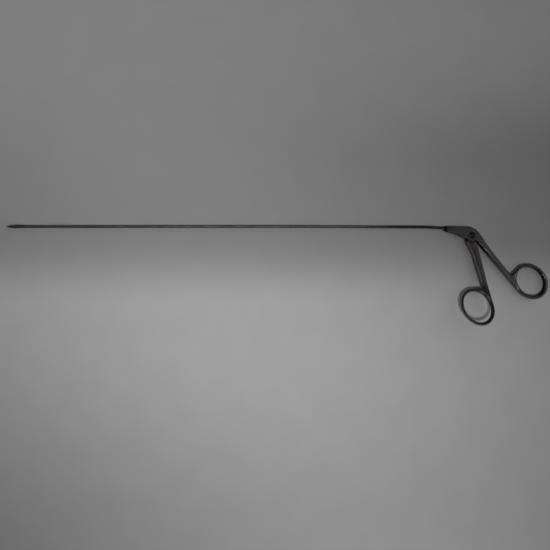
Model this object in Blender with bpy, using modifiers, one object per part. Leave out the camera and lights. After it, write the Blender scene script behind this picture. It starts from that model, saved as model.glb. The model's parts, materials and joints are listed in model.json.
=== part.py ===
"""Bronchoscopic scissors: a ring handle that works a small pair of blades through a long thin tube.

Lengths are metres and angles are degrees. The pieces are drawn round the pivot screw, which stands at
x = y = 0. The blades point to -X, the finger rings hang to -Y, and z = 0 is the middle of the handle's
thickness. At the end one empty sets the instrument down flat with the middle of its base at the origin.
"""

import math

import bmesh
import bpy

# Sizes of the whole instrument
WORKING_LENGTH = 0.4000
BLADE_REACH = 0.0114

# Handle frame
BODY_THICKNESS = 0.0060
NOSE_REACH = 0.0242
NOSE_TOP = 0.0084
NOSE_BOTTOM = 0.0040
NOSE_END_THICKNESS = 0.0048
NOSE_TAPER = 0.0040
BELLY_SHARES = (0.27, 0.52, 0.81)
BELLY_HEIGHTS = (-0.0026, 0.0004, 0.0026)
BELLY_RADII = (0.0030, 0.0200, 0.0200)
NOSE_LOW_CORNER = 0.0018
NOSE_HIGH_CORNER = 0.0006
SHOULDER = (0.0029, 0.0078)
SHOULDER_RADIUS = 0.0140
EDGE_ROUNDING = 0.0006
LOBE_RADIUS = 0.0056
LOBE_REAR_ANGLE = -48.0
LOBE_FRONT_ANGLE = -128.0
SHANK_BACK = (0.0205, -0.0163)
SHANK_BACK_RADIUS = 0.0600
SHANK_END_THICKNESS = 0.0050
SHANK_TAPER_START = 0.0120
SHANK_TAPER_LENGTH = 0.0360

# Finger rings: a section is (width in the plane of the ring, thickness), a size is the two inner half axes
RING_SQUARENESS = 3.0
RING_OVERLAP = 0.00025
REAR_RING_SECTION = (0.0034, 0.0054)
REAR_RING_CENTRE = (0.05425, -0.0419)
REAR_RING_SIZE = (0.0142, 0.0112)
REAR_RING_TILT = -47.5
REAR_NOTCH = (0.0363, -0.0356)
FRONT_RING_SECTION = (0.0028, 0.0044)
FRONT_RING_CENTRE = (0.0034, -0.06475)
FRONT_RING_SIZE = (0.0144, 0.0115)
FRONT_RING_TILT = -59.5
FRONT_NOTCH = (0.0094, -0.0483)

# Finger lever
LEVER_THICKNESS = 0.0052
LEVER_GAP = 0.0003
LEVER_REAR_ANGLE = -53.0
LEVER_FRONT_ANGLE = -127.0
LEVER_CORNER = (-0.0053, -0.0052)
LEVER_FRONT_BEND = (0.0009, -0.0173)
LEVER_REAR_BEND = (0.0063, -0.0110)
LEVER_BEND_RADIUS = 0.0240
LEVER_SHOULDER_CORNER = 0.0005
LEVER_NOTCH_CORNER = 0.0004
LEVER_RISE = 0.0913
LEVER_RISE_START = 0.0100
RING_RISE = 0.1400
RING_RISE_START = 0.0465

# Tongue of the lever and the slot that it works in
TONGUE_THICKNESS = 0.0022
TONGUE_HALF_WIDTH = 0.0034
TONGUE_ROOT = 0.0085
SLOT_CLEARANCE = 0.0001
SLOT_FRONT = 0.0050
SLOT_REAR = 0.0041
SLOT_STEP = 0.0022
SLOT_NOSE_FLOOR = 0.0036
SLOT_HEEL = 0.0024
SLOT_HEEL_RISE = 0.0042
SLOT_CORNERS = (0.0003, 0.0005, 0.0008)
TONGUE_STEP = 0.0012
TONGUE_CORNER = 0.0022
TONGUE_INNER_CORNER = 0.0008
LINK_ARM = 0.0049
LINK_LEAD = 6.0
LINK_EYE_RADIUS = 0.0011
FORK_SLOT = 0.0011
FORK_FLOOR = 0.0032

# Screw and pins
SCREW_RADIUS = 0.0017
SCREW_TIP_RADIUS = 0.0014
SCREW_HEAD_RADIUS = 0.0026
SCREW_HEAD_HEIGHT = 0.0012
SCREW_HEAD_SINK = 0.0001
SCREW_HEAD_GAP = 0.00025
SCREW_EDGE = 0.0003
SCREW_SLOT_WIDTH = 0.0007
SCREW_SLOT_DEPTH = 0.0006
SCREW_SLOT_ANGLE = -52.0
LINK_PIN_RADIUS = 0.0006
PIN_CLEARANCE = 0.00008
SEAT_GAP = 0.00004

# Shaft
TUBE_RADIUS = 0.0013
TUBE_WALL = 0.00038
TUBE_INSERT = 0.0122
SHAFT_AXIS_AT_NOSE = 0.0067
BORE_SLOPE = 3.15
BEND_TO_NOSE = 0.0170
BOW_TO_BEND = 0.1138
BOW_SLOPE = 0.26
BEND_RADIUS = 0.0600
BOW_RADIUS = 2.0
ROD_RADIUS = 0.00055
ROD_EYE_THICKNESS = 0.0010
ROD_EYE_LENGTH = 0.0045
EYE_ROOM = 0.0025

# Tip
HOLDER_RADIUS = 0.0014
HOLDER_LENGTH = 0.0060
SPIGOT_LENGTH = 0.0040
SPIGOT_RADIUS = 0.00088
SPIGOT_BORE = 0.00064
FORK_WIDTH = 0.0012
FORK_DEPTH = 0.0036
ROD_FRONT = 0.0020
HINGE_DROP = 0.0004
HINGE_PIN_RADIUS = 0.0004
DRIVE_PIN_RADIUS = 0.0003
ROD_EYE_WALL = 0.0002
BLADE_ARM = 0.00125
BLADE_SWING = 46.0
TANG_THICKNESS = 0.00054
BLADE_GAP = 0.00005
BLADE_LIFT = 0.0010
BLADE_OVERLAP = 0.00035
HEEL_CLEAR_RADIUS = 0.0019
BLADE_HUMP = 0.00155
BLADE_POINT = 0.00008
BLADE_EDGE_START = 0.72
BLADE_BACK = ((0.10, 0.94), (0.24, 1.0), (0.36, 1.0), (0.48, 0.93), (0.62, 0.74), (0.76, 0.52),
              (0.90, 0.28))
TANG_REACH = 0.30
TANG_WALL = 0.00025
CHEEK_FLAT = 0.00015
SPIGOT_OVERLAP = 0.0010

ARC_STEP = 9.0
SMOOTH_ANGLE = 32.0


def polar(radius, degrees):
    angle = math.radians(degrees)
    return radius * math.cos(angle), radius * math.sin(angle)


def arc(centre, radius, start, end):
    """Points on a circle from one angle to another, both included."""
    count = max(2, math.ceil(abs(end - start) / ARC_STEP))
    points = []
    for i in range(count + 1):
        dx, dy = polar(radius, start + (end - start) * i / count)
        points.append((centre[0] + dx, centre[1] + dy))
    return points


def rounded(corners, closed=True):
    """Turns (x, y, radius) corners into points, with an arc at each corner that has a radius."""
    points = []
    count = len(corners)
    for i, (x, y, radius) in enumerate(corners):
        is_end = not closed and i in (0, count - 1)
        if radius <= 0 or is_end:
            points.append((x, y))
            continue
        px, py = corners[i - 1][:2]
        nx, ny = corners[(i + 1) % count][:2]
        before = math.atan2(y - py, x - px)
        after = math.atan2(ny - y, nx - x)
        turn = (after - before + math.pi) % (2 * math.pi) - math.pi
        if abs(turn) < 1e-4:
            points.append((x, y))
            continue
        room = 0.48 * min(math.hypot(x - px, y - py), math.hypot(nx - x, ny - y))
        reach = min(radius * math.tan(abs(turn) / 2), room)
        radius = reach / math.tan(abs(turn) / 2)
        side = math.copysign(1.0, turn)
        start = (x - reach * math.cos(before), y - reach * math.sin(before))
        centre = (start[0] - side * radius * math.sin(before), start[1] + side * radius * math.cos(before))
        first = math.degrees(before) - 90 * side
        points += arc(centre, radius, first, first + math.degrees(turn))
    return points


class Oval:
    """A finger ring in the XY plane: the ellipse along the middle of its bar, and the bar's section."""

    def __init__(self, centre, inner, tilt, section):
        self.centre = centre
        self.size = (inner[0] + section[0] / 2, inner[1] + section[0] / 2)
        self.tilt = math.radians(tilt)
        self.section = section
        self.under = section[0] / 2 - RING_OVERLAP

    def point(self, angle, offset=0.0):
        """The point at a parameter angle, moved outwards by offset along the normal."""
        long, short = self.size
        x, y = long * math.cos(angle), short * math.sin(angle)
        nx, ny = short * math.cos(angle), long * math.sin(angle)
        length = math.hypot(nx, ny)
        x += offset * nx / length
        y += offset * ny / length
        c, s = math.cos(self.tilt), math.sin(self.tilt)
        return self.centre[0] + x * c - y * s, self.centre[1] + x * s + y * c

    def tangent(self, start, side, offset):
        """The parameter angle where a line from a point outside touches the oval grown by offset."""
        dx, dy = start[0] - self.centre[0], start[1] - self.centre[1]
        c, s = math.cos(self.tilt), math.sin(self.tilt)
        u = (dx * c + dy * s) / (self.size[0] + offset)
        v = (dy * c - dx * s) / (self.size[1] + offset)
        return math.atan2(v, u) + side * math.acos(min(1.0, 1.0 / math.hypot(u, v)))

    def sweep(self, start, end, offset=0.0):
        """Points from one parameter angle round to another, the short way."""
        turn = (end - start + math.pi) % (2 * math.pi) - math.pi
        count = max(2, math.ceil(abs(math.degrees(turn)) / ARC_STEP))
        return [self.point(start + turn * i / count, offset) for i in range(count + 1)]


REAR_RING = Oval(REAR_RING_CENTRE, REAR_RING_SIZE, REAR_RING_TILT, REAR_RING_SECTION)
FRONT_RING = Oval(FRONT_RING_CENTRE, FRONT_RING_SIZE, FRONT_RING_TILT, FRONT_RING_SECTION)


def start_scene():
    for obj in list(bpy.data.objects):
        bpy.data.objects.remove(obj, do_unlink=True)
    made = []
    for name in ("bronchoscopic_scissors", "cutters"):
        collection = bpy.data.collections.new(name)
        bpy.context.scene.collection.children.link(collection)
        made.append(collection)
    return made


PARTS, CUTTERS = start_scene()


def steel(name, colour, roughness):
    material = bpy.data.materials.new(name)
    material.use_nodes = True
    shader = material.node_tree.nodes["Principled BSDF"]
    shader.inputs["Base Color"].default_value = (*colour, 1.0)
    shader.inputs["Metallic"].default_value = 1.0
    shader.inputs["Roughness"].default_value = roughness
    return material


SATIN = steel("satin_steel", (0.36, 0.35, 0.35), 0.34)
DRAWN = steel("drawn_steel", (0.40, 0.40, 0.39), 0.28)
HARD = steel("hardened_steel", (0.30, 0.30, 0.31), 0.25)


def new_object(name, mesh, material=None):
    """A finished part when it has a material, otherwise a cutter or a guide."""
    obj = bpy.data.objects.new(name, mesh)
    if material:
        mesh.materials.clear()
        mesh.materials.append(material)
        PARTS.objects.link(obj)
    else:
        CUTTERS.objects.link(obj)
        obj.hide_render = True
        obj.display_type = "WIRE"
    return obj


def evaluated_mesh(obj):
    """The mesh of a curve, or of an object with its modifiers, welded; the object itself is removed."""
    bpy.context.view_layer.update()
    graph = bpy.context.evaluated_depsgraph_get()
    mesh = bpy.data.meshes.new_from_object(obj.evaluated_get(graph))
    name = obj.name
    bpy.data.objects.remove(obj, do_unlink=True)
    mesh.name = name
    work = bmesh.new()
    work.from_mesh(mesh)
    bmesh.ops.remove_doubles(work, verts=work.verts, dist=1e-7)
    bmesh.ops.recalc_face_normals(work, faces=work.faces)
    work.to_mesh(mesh)
    work.free()
    return mesh


def flat_mesh(name, outline, low, high):
    """A plate between two heights with the given outline, its caps kept as single faces."""
    curve = bpy.data.curves.new(name, "CURVE")
    curve.dimensions = "2D"
    curve.fill_mode = "BOTH"
    curve.extrude = (high - low) / 2
    spline = curve.splines.new("POLY")
    spline.points.add(len(outline) - 1)
    for point, (x, y) in zip(spline.points, outline):
        point.co = (x, y, 0.0, 1.0)
    spline.use_cyclic_u = True
    mesh = evaluated_mesh(new_object(name, curve))
    work = bmesh.new()
    work.from_mesh(mesh)
    bmesh.ops.dissolve_limit(work, angle_limit=math.radians(0.5), verts=work.verts, edges=work.edges)
    bmesh.ops.translate(work, verts=work.verts, vec=(0.0, 0.0, (low + high) / 2))
    work.to_mesh(mesh)
    work.free()
    return mesh


def wire_mesh(name, path, radius, sides, capped):
    """A round bar, or a round skin with open ends, along points in the XY plane."""
    curve = bpy.data.curves.new(name, "CURVE")
    curve.dimensions = "3D"
    curve.bevel_depth = radius
    curve.bevel_resolution = sides // 2 - 2
    curve.use_fill_caps = capped
    spline = curve.splines.new("POLY")
    spline.points.add(len(path) - 1)
    for point, (x, y) in zip(spline.points, path):
        point.co = (x, y, 0.0, 1.0)
    return evaluated_mesh(new_object(name, curve))


def ring_mesh(name, oval):
    """A finger ring: a soft square section swept round the oval."""
    section = bpy.data.curves.new(name + "_section", "CURVE")
    section.dimensions = "2D"
    spline = section.splines.new("POLY")
    sides = 20
    spline.points.add(sides - 1)
    for i, point in enumerate(spline.points):
        angle = 2 * math.pi * (i + 0.5) / sides
        c, s = math.cos(angle), math.sin(angle)
        x = oval.section[0] / 2 * math.copysign(abs(c) ** (2 / RING_SQUARENESS), c)
        y = oval.section[1] / 2 * math.copysign(abs(s) ** (2 / RING_SQUARENESS), s)
        point.co = (x, y, 0.0, 1.0)
    spline.use_cyclic_u = True
    guide = new_object(name + "_section", section)
    path = bpy.data.curves.new(name, "CURVE")
    path.dimensions = "3D"
    path.twist_mode = "Z_UP"
    path.bevel_mode = "OBJECT"
    path.bevel_object = guide
    turns = 64
    spline = path.splines.new("POLY")
    spline.points.add(turns - 1)
    for i, point in enumerate(spline.points):
        x, y = oval.point(2 * math.pi * (i + 0.25) / turns)
        point.co = (x, y, 0.0, 1.0)
    spline.use_cyclic_u = True
    mesh = evaluated_mesh(new_object(name, path))
    bpy.data.objects.remove(guide, do_unlink=True)
    return mesh


def box_outline(left, right, front, back):
    return [(left, front), (right, front), (right, back), (left, back)]


def rod_cutter(name, centre, radius, low, high, sides=40):
    """An upright round cutter."""
    work = bmesh.new()
    bmesh.ops.create_cone(work, cap_ends=True, segments=sides, radius1=radius, radius2=radius,
                          depth=high - low)
    bmesh.ops.translate(work, verts=work.verts, vec=(centre[0], centre[1], (low + high) / 2))
    mesh = bpy.data.meshes.new(name)
    work.to_mesh(mesh)
    work.free()
    return new_object(name, mesh)


def along_cutter(name, start, end, radius, sides=32):
    """A round cutter that lies in the XY plane between two points."""
    mesh = wire_mesh(name, [start, end], radius, sides, True)
    return new_object(name, mesh)


def combine(target, other, operation):
    modifier = target.modifiers.new(operation.lower(), "BOOLEAN")
    modifier.operation = operation
    modifier.solver = "EXACT"
    modifier.object = other
    return modifier


def round_edges(obj, width, segments=3, limit=35.0):
    modifier = obj.modifiers.new("rounded_edges", "BEVEL")
    modifier.width = width
    modifier.segments = segments
    modifier.limit_method = "ANGLE"
    modifier.angle_limit = math.radians(limit)
    modifier.use_clamp_overlap = True


def finish(obj, name, material):
    """Makes a worked guide the named part, with its modifiers applied and smooth shading."""
    cutters = [m.object for m in obj.modifiers if m.type == "BOOLEAN"]
    mesh = evaluated_mesh(obj)
    for cutter in cutters:
        bpy.data.objects.remove(cutter, do_unlink=True)
    mesh.shade_smooth()
    mesh.set_sharp_from_angle(angle=math.radians(SMOOTH_ANGLE))
    return new_object(name, mesh, material)


def split_across(mesh, origin, direction, distances):
    """Cuts edges into the mesh where planes across a direction meet it."""
    work = bmesh.new()
    work.from_mesh(mesh)
    for distance in distances:
        point = (origin[0] + direction[0] * distance, origin[1] + direction[1] * distance, 0.0)
        bmesh.ops.bisect_plane(work, geom=work.verts[:] + work.edges[:] + work.faces[:],
                               plane_co=point, plane_no=(*direction, 0.0), dist=1e-7)
    work.to_mesh(mesh)
    work.free()


def taper(mesh, origin, direction, length, factor):
    """Thins a plate from full thickness at the origin to a share of it at the given length, and beyond."""
    split_across(mesh, origin, direction, (0.0, length))
    for vertex in mesh.vertices:
        x, y = vertex.co.x - origin[0], vertex.co.y - origin[1]
        along = x * direction[0] + y * direction[1]
        share = min(max(along / length, 0.0), 1.0)
        vertex.co.z *= 1.0 + (factor - 1.0) * share


# Middle line of the shaft, from the handle forwards

def shaft_height(x):
    """Height of the shaft's straight axis in the bore, at a place along the handle."""
    return SHAFT_AXIS_AT_NOSE - (x + NOSE_REACH) * math.tan(math.radians(BORE_SLOPE))


def shaft_corners():
    """The nose end of the bore and the two places where the tube changes direction."""
    nose = (-NOSE_REACH, SHAFT_AXIS_AT_NOSE)
    bend = (nose[0] - BEND_TO_NOSE, nose[1] + BEND_TO_NOSE * math.tan(math.radians(BORE_SLOPE)))
    bow = (bend[0] - BOW_TO_BEND, bend[1] + BOW_TO_BEND * math.tan(math.radians(BOW_SLOPE)))
    return nose, bend, bow


def shaft_path(front, rear):
    """Points along the shaft's axis from x = front, on the level stretch, to x = rear, in the bore."""
    _, bend, bow = shaft_corners()
    return rounded([(front, bow[1], 0.0), (*bow, BOW_RADIUS), (*bend, BEND_RADIUS),
                    (rear, shaft_height(rear), 0.0)], closed=False)


TIP_X = -NOSE_REACH - WORKING_LENGTH
HINGE_X = TIP_X + BLADE_REACH
TIP_Y = shaft_corners()[2][1]
HINGE = (HINGE_X, TIP_Y - HINGE_DROP)
LINK = polar(LINK_ARM, 90.0 + LINK_LEAD)
DRIVE_PIN = tuple(h + d for h, d in zip(HINGE, polar(BLADE_ARM, 90.0 + BLADE_SWING / 2)))
SLOT_HALF = TONGUE_THICKNESS / 2 + SLOT_CLEARANCE
TUBE_END = -NOSE_REACH + TUBE_INSERT
SLOT_TOP = LINK[1] + LINK_EYE_RADIUS + 2 * LEVER_GAP
SLOT_NOSE_END = LINK[0] - ROD_EYE_LENGTH - EYE_ROOM
HEAD_TOP = BODY_THICKNESS / 2 - SCREW_HEAD_SINK
HEAD_BASE = HEAD_TOP - SCREW_HEAD_HEIGHT


def frame_outline():
    """Nose, shoulder, rear shank and pivot lobe, ending inside the rear ring's bar."""
    under = REAR_RING.under
    apex = polar(LOBE_RADIUS, LOBE_FRONT_ANGLE)
    low = REAR_RING.tangent(polar(LOBE_RADIUS, LOBE_REAR_ANGLE), 1, under)
    high = REAR_RING.tangent(REAR_NOTCH, -1, under)
    belly = [(-NOSE_REACH * share, y, radius)
             for share, y, radius in zip(BELLY_SHARES, BELLY_HEIGHTS, BELLY_RADII)]
    edge = rounded([(*apex, 0.0), *belly,
                    (-NOSE_REACH, NOSE_BOTTOM, NOSE_LOW_CORNER), (-NOSE_REACH, NOSE_TOP, NOSE_HIGH_CORNER),
                    (*SHOULDER, SHOULDER_RADIUS), (*SHANK_BACK, SHANK_BACK_RADIUS), (*REAR_NOTCH, 0.0)],
                   closed=False)
    points = arc((0.0, 0.0), LOBE_RADIUS, LOBE_REAR_ANGLE, LOBE_FRONT_ANGLE)[:-1] + edge
    points.append(REAR_RING.point(high, under))
    points += REAR_RING.sweep(high, low)
    points.append(REAR_RING.point(low, under))
    return points


def slot_cutter():
    """The milled slot for the lever's tongue and the rod's end, open below."""
    deep = -LOBE_RADIUS * 2
    small, middle, large = SLOT_CORNERS
    outline = rounded([(-SLOT_FRONT, deep, 0.0), (-SLOT_FRONT, SLOT_STEP, middle),
                       (SLOT_NOSE_END, SLOT_NOSE_FLOOR, small), (SLOT_NOSE_END, SLOT_TOP, small),
                       (SLOT_HEEL, SLOT_TOP, large), (SLOT_HEEL, SLOT_HEEL_RISE, middle),
                       (SLOT_REAR, SLOT_STEP, large), (SLOT_REAR, deep, 0.0)])
    return new_object("slot", flat_mesh("slot", outline, -SLOT_HALF, SLOT_HALF))


def make_handle_frame():
    half = BODY_THICKNESS / 2
    plate = new_object("frame_plate", flat_mesh("frame_plate", frame_outline(), -half, half))
    round_edges(plate, EDGE_ROUNDING)
    mesh = evaluated_mesh(plate)
    taper(mesh, (-NOSE_REACH + NOSE_TAPER, 0.0), (-1.0, 0.0), NOSE_TAPER, NOSE_END_THICKNESS / BODY_THICKNESS)
    run = (REAR_NOTCH[0] - SHOULDER[0], REAR_NOTCH[1] - SHOULDER[1])
    span = math.hypot(*run)
    along = (run[0] / span, run[1] / span)
    start = (along[0] * SHANK_TAPER_START, along[1] * SHANK_TAPER_START)
    taper(mesh, start, along, SHANK_TAPER_LENGTH, SHANK_END_THICKNESS / BODY_THICKNESS)
    frame = new_object("frame_work", mesh)
    combine(frame, new_object("rear_ring", ring_mesh("rear_ring", REAR_RING)), "UNION")
    combine(frame, slot_cutter(), "DIFFERENCE")
    outside = BODY_THICKNESS
    past, tube_end, rod_start, slot_end = [
        (x, shaft_height(x)) for x in (-NOSE_REACH - outside, TUBE_END, TUBE_END - TUBE_RADIUS,
                                       SLOT_NOSE_END + TUBE_WALL)]
    combine(frame, along_cutter("tube_bore", past, tube_end, TUBE_RADIUS + SEAT_GAP), "DIFFERENCE")
    combine(frame, along_cutter("rod_bore", rod_start, slot_end, TUBE_RADIUS - TUBE_WALL), "DIFFERENCE")
    combine(frame, rod_cutter("head_recess", (0, 0), SCREW_HEAD_RADIUS + SCREW_HEAD_GAP,
                              HEAD_BASE - SEAT_GAP, outside), "DIFFERENCE")
    combine(frame, rod_cutter("near_hole", (0, 0), SCREW_RADIUS + PIN_CLEARANCE, 0.0, outside), "DIFFERENCE")
    thread = SCREW_TIP_RADIUS + SEAT_GAP
    combine(frame, rod_cutter("thread_hole", (0, 0), thread, -outside, 0.0), "DIFFERENCE")
    return finish(frame, "handle_frame", SATIN)


def lever_outline():
    """The full thickness part of the lever, from the round shoulder to inside the front ring's bar."""
    under = FRONT_RING.under
    radius = LOBE_RADIUS + LEVER_GAP
    right = FRONT_RING.tangent(LEVER_REAR_BEND, -1, under)
    left = FRONT_RING.tangent(FRONT_NOTCH, 1, under)
    shoulder = arc((0.0, 0.0), radius, LEVER_FRONT_ANGLE, LEVER_REAR_ANGLE)
    back = rounded([(*shoulder[-1], 0.0), (*LEVER_REAR_BEND, LEVER_BEND_RADIUS),
                    (*FRONT_RING.point(right, under), 0.0)], closed=False)
    front = rounded([(*FRONT_RING.point(left, under), 0.0), (*FRONT_NOTCH, LEVER_NOTCH_CORNER),
                     (*LEVER_FRONT_BEND, LEVER_BEND_RADIUS), (*LEVER_CORNER, LEVER_SHOULDER_CORNER),
                     (*shoulder[0], 0.0)], closed=False)
    return shoulder[:-1] + back + FRONT_RING.sweep(right, left) + front[:-1]


def tongue_outline():
    """The thin blade of the lever that works in the slot and carries the link pin."""
    eye = LINK_EYE_RADIUS
    low = FORK_FLOOR - TONGUE_STEP
    return rounded([(-TONGUE_HALF_WIDTH, -TONGUE_ROOT, 0.0), (-TONGUE_HALF_WIDTH, low, TONGUE_CORNER),
                    (LINK[0] - eye, FORK_FLOOR, TONGUE_INNER_CORNER), (LINK[0] - eye, LINK[1] + eye, eye),
                    (LINK[0] + eye, LINK[1] + eye, eye), (LINK[0] + eye, FORK_FLOOR, TONGUE_INNER_CORNER),
                    (TONGUE_HALF_WIDTH, low, TONGUE_CORNER), (TONGUE_HALF_WIDTH, -TONGUE_ROOT, 0.0)])


def make_finger_lever():
    half = LEVER_THICKNESS / 2
    shank = new_object("lever_shank", flat_mesh("lever_shank", lever_outline(), -half, half))
    round_edges(shank, EDGE_ROUNDING)
    combine(shank, new_object("front_ring", ring_mesh("front_ring", FRONT_RING)), "UNION")
    ring = shank.modifiers[-1].object
    mesh = evaluated_mesh(shank)
    bpy.data.objects.remove(ring, do_unlink=True)
    split_across(mesh, (0.0, 0.0), (0.0, -1.0), (LEVER_RISE_START, RING_RISE_START))
    for vertex in mesh.vertices:
        vertex.co.z += LEVER_RISE * max(0.0, -vertex.co.y - LEVER_RISE_START)
        vertex.co.z += RING_RISE * max(0.0, -vertex.co.y - RING_RISE_START)
    lever = new_object("lever_work", mesh)
    tongue = flat_mesh("tongue", tongue_outline(), -TONGUE_THICKNESS / 2, TONGUE_THICKNESS / 2)
    combine(lever, new_object("tongue", tongue), "UNION")
    combine(lever, rod_cutter("pivot_bore", (0, 0), SCREW_RADIUS + PIN_CLEARANCE, -half, half), "DIFFERENCE")
    fork = flat_mesh("fork", box_outline(-SLOT_FRONT, SLOT_FRONT, FORK_FLOOR, 2 * LINK_ARM),
                     -FORK_SLOT / 2, FORK_SLOT / 2)
    combine(lever, new_object("fork", fork), "DIFFERENCE")
    combine(lever, rod_cutter("link_bore", LINK, LINK_PIN_RADIUS + SEAT_GAP, -half, half, 24), "DIFFERENCE")
    return finish(lever, "finger_lever", SATIN)


def turned(name, profile, sides=40):
    """A turned piece about Z from a (radius, z) profile that runs from top to bottom."""
    mesh = bpy.data.meshes.new(name)
    mesh.from_pydata([(r, 0.0, z) for r, z in profile], [(i, i + 1) for i in range(len(profile) - 1)], [])
    obj = new_object(name + "_work", mesh)
    screw = obj.modifiers.new("turned", "SCREW")
    screw.axis = "Z"
    screw.steps = sides
    screw.render_steps = sides
    screw.use_merge_vertices = True
    screw.merge_threshold = 1e-6
    screw.use_smooth_shade = True
    return obj


def make_pivot_screw():
    end = -BODY_THICKNESS / 2 + SCREW_HEAD_SINK
    shoulder = TONGUE_THICKNESS / 2
    edge = SCREW_EDGE
    head = SCREW_HEAD_RADIUS
    profile = [(0.0, HEAD_TOP), (head - 2 * edge, HEAD_TOP), (head, HEAD_TOP - edge),
               (head, HEAD_BASE), (SCREW_RADIUS, HEAD_BASE), (SCREW_RADIUS, -shoulder),
               (SCREW_TIP_RADIUS, -shoulder), (SCREW_TIP_RADIUS, end + edge), (SCREW_TIP_RADIUS - edge, end),
               (0.0, end)]
    screw = turned("pivot_screw", profile)
    reach = SCREW_HEAD_RADIUS * 2
    half = SCREW_SLOT_WIDTH / 2
    c, s = polar(1.0, SCREW_SLOT_ANGLE)
    slot = [(x * c - y * s, x * s + y * c) for x, y in box_outline(-reach, reach, -half, half)]
    cutter = flat_mesh("driver_slot", slot, HEAD_TOP - SCREW_SLOT_DEPTH, HEAD_TOP + SCREW_SLOT_DEPTH)
    combine(screw, new_object("driver_slot", cutter), "DIFFERENCE")
    return finish(screw, "pivot_screw", HARD)


def make_pin(name, centre, radius, low, high):
    """A rivet pin with a small chamfer at each end, its origin on its axis."""
    edge = radius * 0.25
    profile = [(0.0, high), (radius - edge, high), (radius, high - edge), (radius, low + edge),
               (radius - edge, low), (0.0, low)]
    pin = finish(turned(name, profile, 24), name, HARD)
    pin.location = (*centre, 0.0)
    return pin


def make_shaft_tube():
    front = HINGE_X + HOLDER_LENGTH + SEAT_GAP
    skin = wire_mesh("tube_skin", shaft_path(front, TUBE_END - SEAT_GAP), TUBE_RADIUS, 20, False)
    tube = new_object("tube_work", skin)
    wall = tube.modifiers.new("wall", "SOLIDIFY")
    wall.thickness = TUBE_WALL
    wall.offset = -1.0
    wall.use_even_offset = True
    return finish(tube, "shaft_tube", DRAWN)


def make_drive_rod():
    """Round rod with a flat eye at the lever and a thin offset tongue at the blades."""
    rear = LINK[0] - ROD_EYE_LENGTH
    front = HINGE_X + ROD_FRONT
    rod = new_object("rod_work", wire_mesh("rod_work", shaft_path(front, rear), ROD_RADIUS, 16, True))
    half = ROD_EYE_THICKNESS / 2
    eye = LINK_EYE_RADIUS - SEAT_GAP
    back = shaft_height(rear)
    low = LINK[1] - eye
    high = LINK[1] + eye
    lead = ROD_RADIUS * 1.5
    small = ROD_RADIUS * 0.4
    plate = rounded([(rear - lead, back + ROD_RADIUS * 0.8, small), (rear + lead, high, small * 2),
                     (LINK[0] + eye, high, eye), (LINK[0] + eye, low, eye), (LINK[0] - eye, low, eye),
                     (rear - lead, back - ROD_RADIUS * 0.8, small)])
    combine(rod, new_object("rear_eye", flat_mesh("rear_eye", plate, -half, half)), "UNION")
    hole = rod_cutter("rear_hole", LINK, LINK_PIN_RADIUS + PIN_CLEARANCE, -half * 2, half * 2, 24)
    combine(rod, hole, "DIFFERENCE")
    x, y = DRIVE_PIN
    clear = DRIVE_PIN_RADIUS + PIN_CLEARANCE
    width = clear + ROD_EYE_WALL
    lift = BLADE_ARM * (1 - math.cos(math.radians(BLADE_SWING / 2)))
    neck = ROD_RADIUS / 2
    root = front + neck / 2
    tail = front + ROD_RADIUS * 2
    tongue = rounded([(x - width, y - width, width), (front - ROD_RADIUS, y - width, small / 2),
                      (root, TIP_Y - neck, 0.0), (tail, TIP_Y - neck, small / 2),
                      (tail, TIP_Y + neck, small / 2), (root, TIP_Y + neck, 0.0),
                      (front - ROD_RADIUS, y + width + lift, small), (x - width, y + width + lift, width)])
    tongue_top = FORK_WIDTH / 2 - BLADE_GAP * 2
    plate = flat_mesh("front_tongue", tongue, BLADE_GAP, tongue_top)
    combine(rod, new_object("front_tongue", plate), "UNION")
    hole = rounded([(x - clear, y - clear, clear), (x + clear, y - clear, clear),
                    (x + clear, y + clear + lift, clear), (x - clear, y + clear + lift, clear)])
    combine(rod, new_object("front_hole", flat_mesh("front_hole", hole, -half, FORK_WIDTH)), "DIFFERENCE")
    return finish(rod, "drive_rod", DRAWN)


def blade_back(side):
    """Back edge of a blade from over the hinge towards the point, as points in the plane of the shaft."""
    return [(HINGE_X - BLADE_REACH * along, TIP_Y + side * BLADE_HUMP * share) for along, share in BLADE_BACK]


def blade_edge(side, start):
    """The point of a blade and its cutting edge, back to a share of the blade's reach behind the point."""
    y = TIP_Y - side * BLADE_OVERLAP
    return [(TIP_X, TIP_Y + side * BLADE_POINT), (TIP_X, TIP_Y - side * BLADE_POINT),
            (HINGE_X - BLADE_REACH * BLADE_EDGE_START, y), (start, y)]


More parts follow.
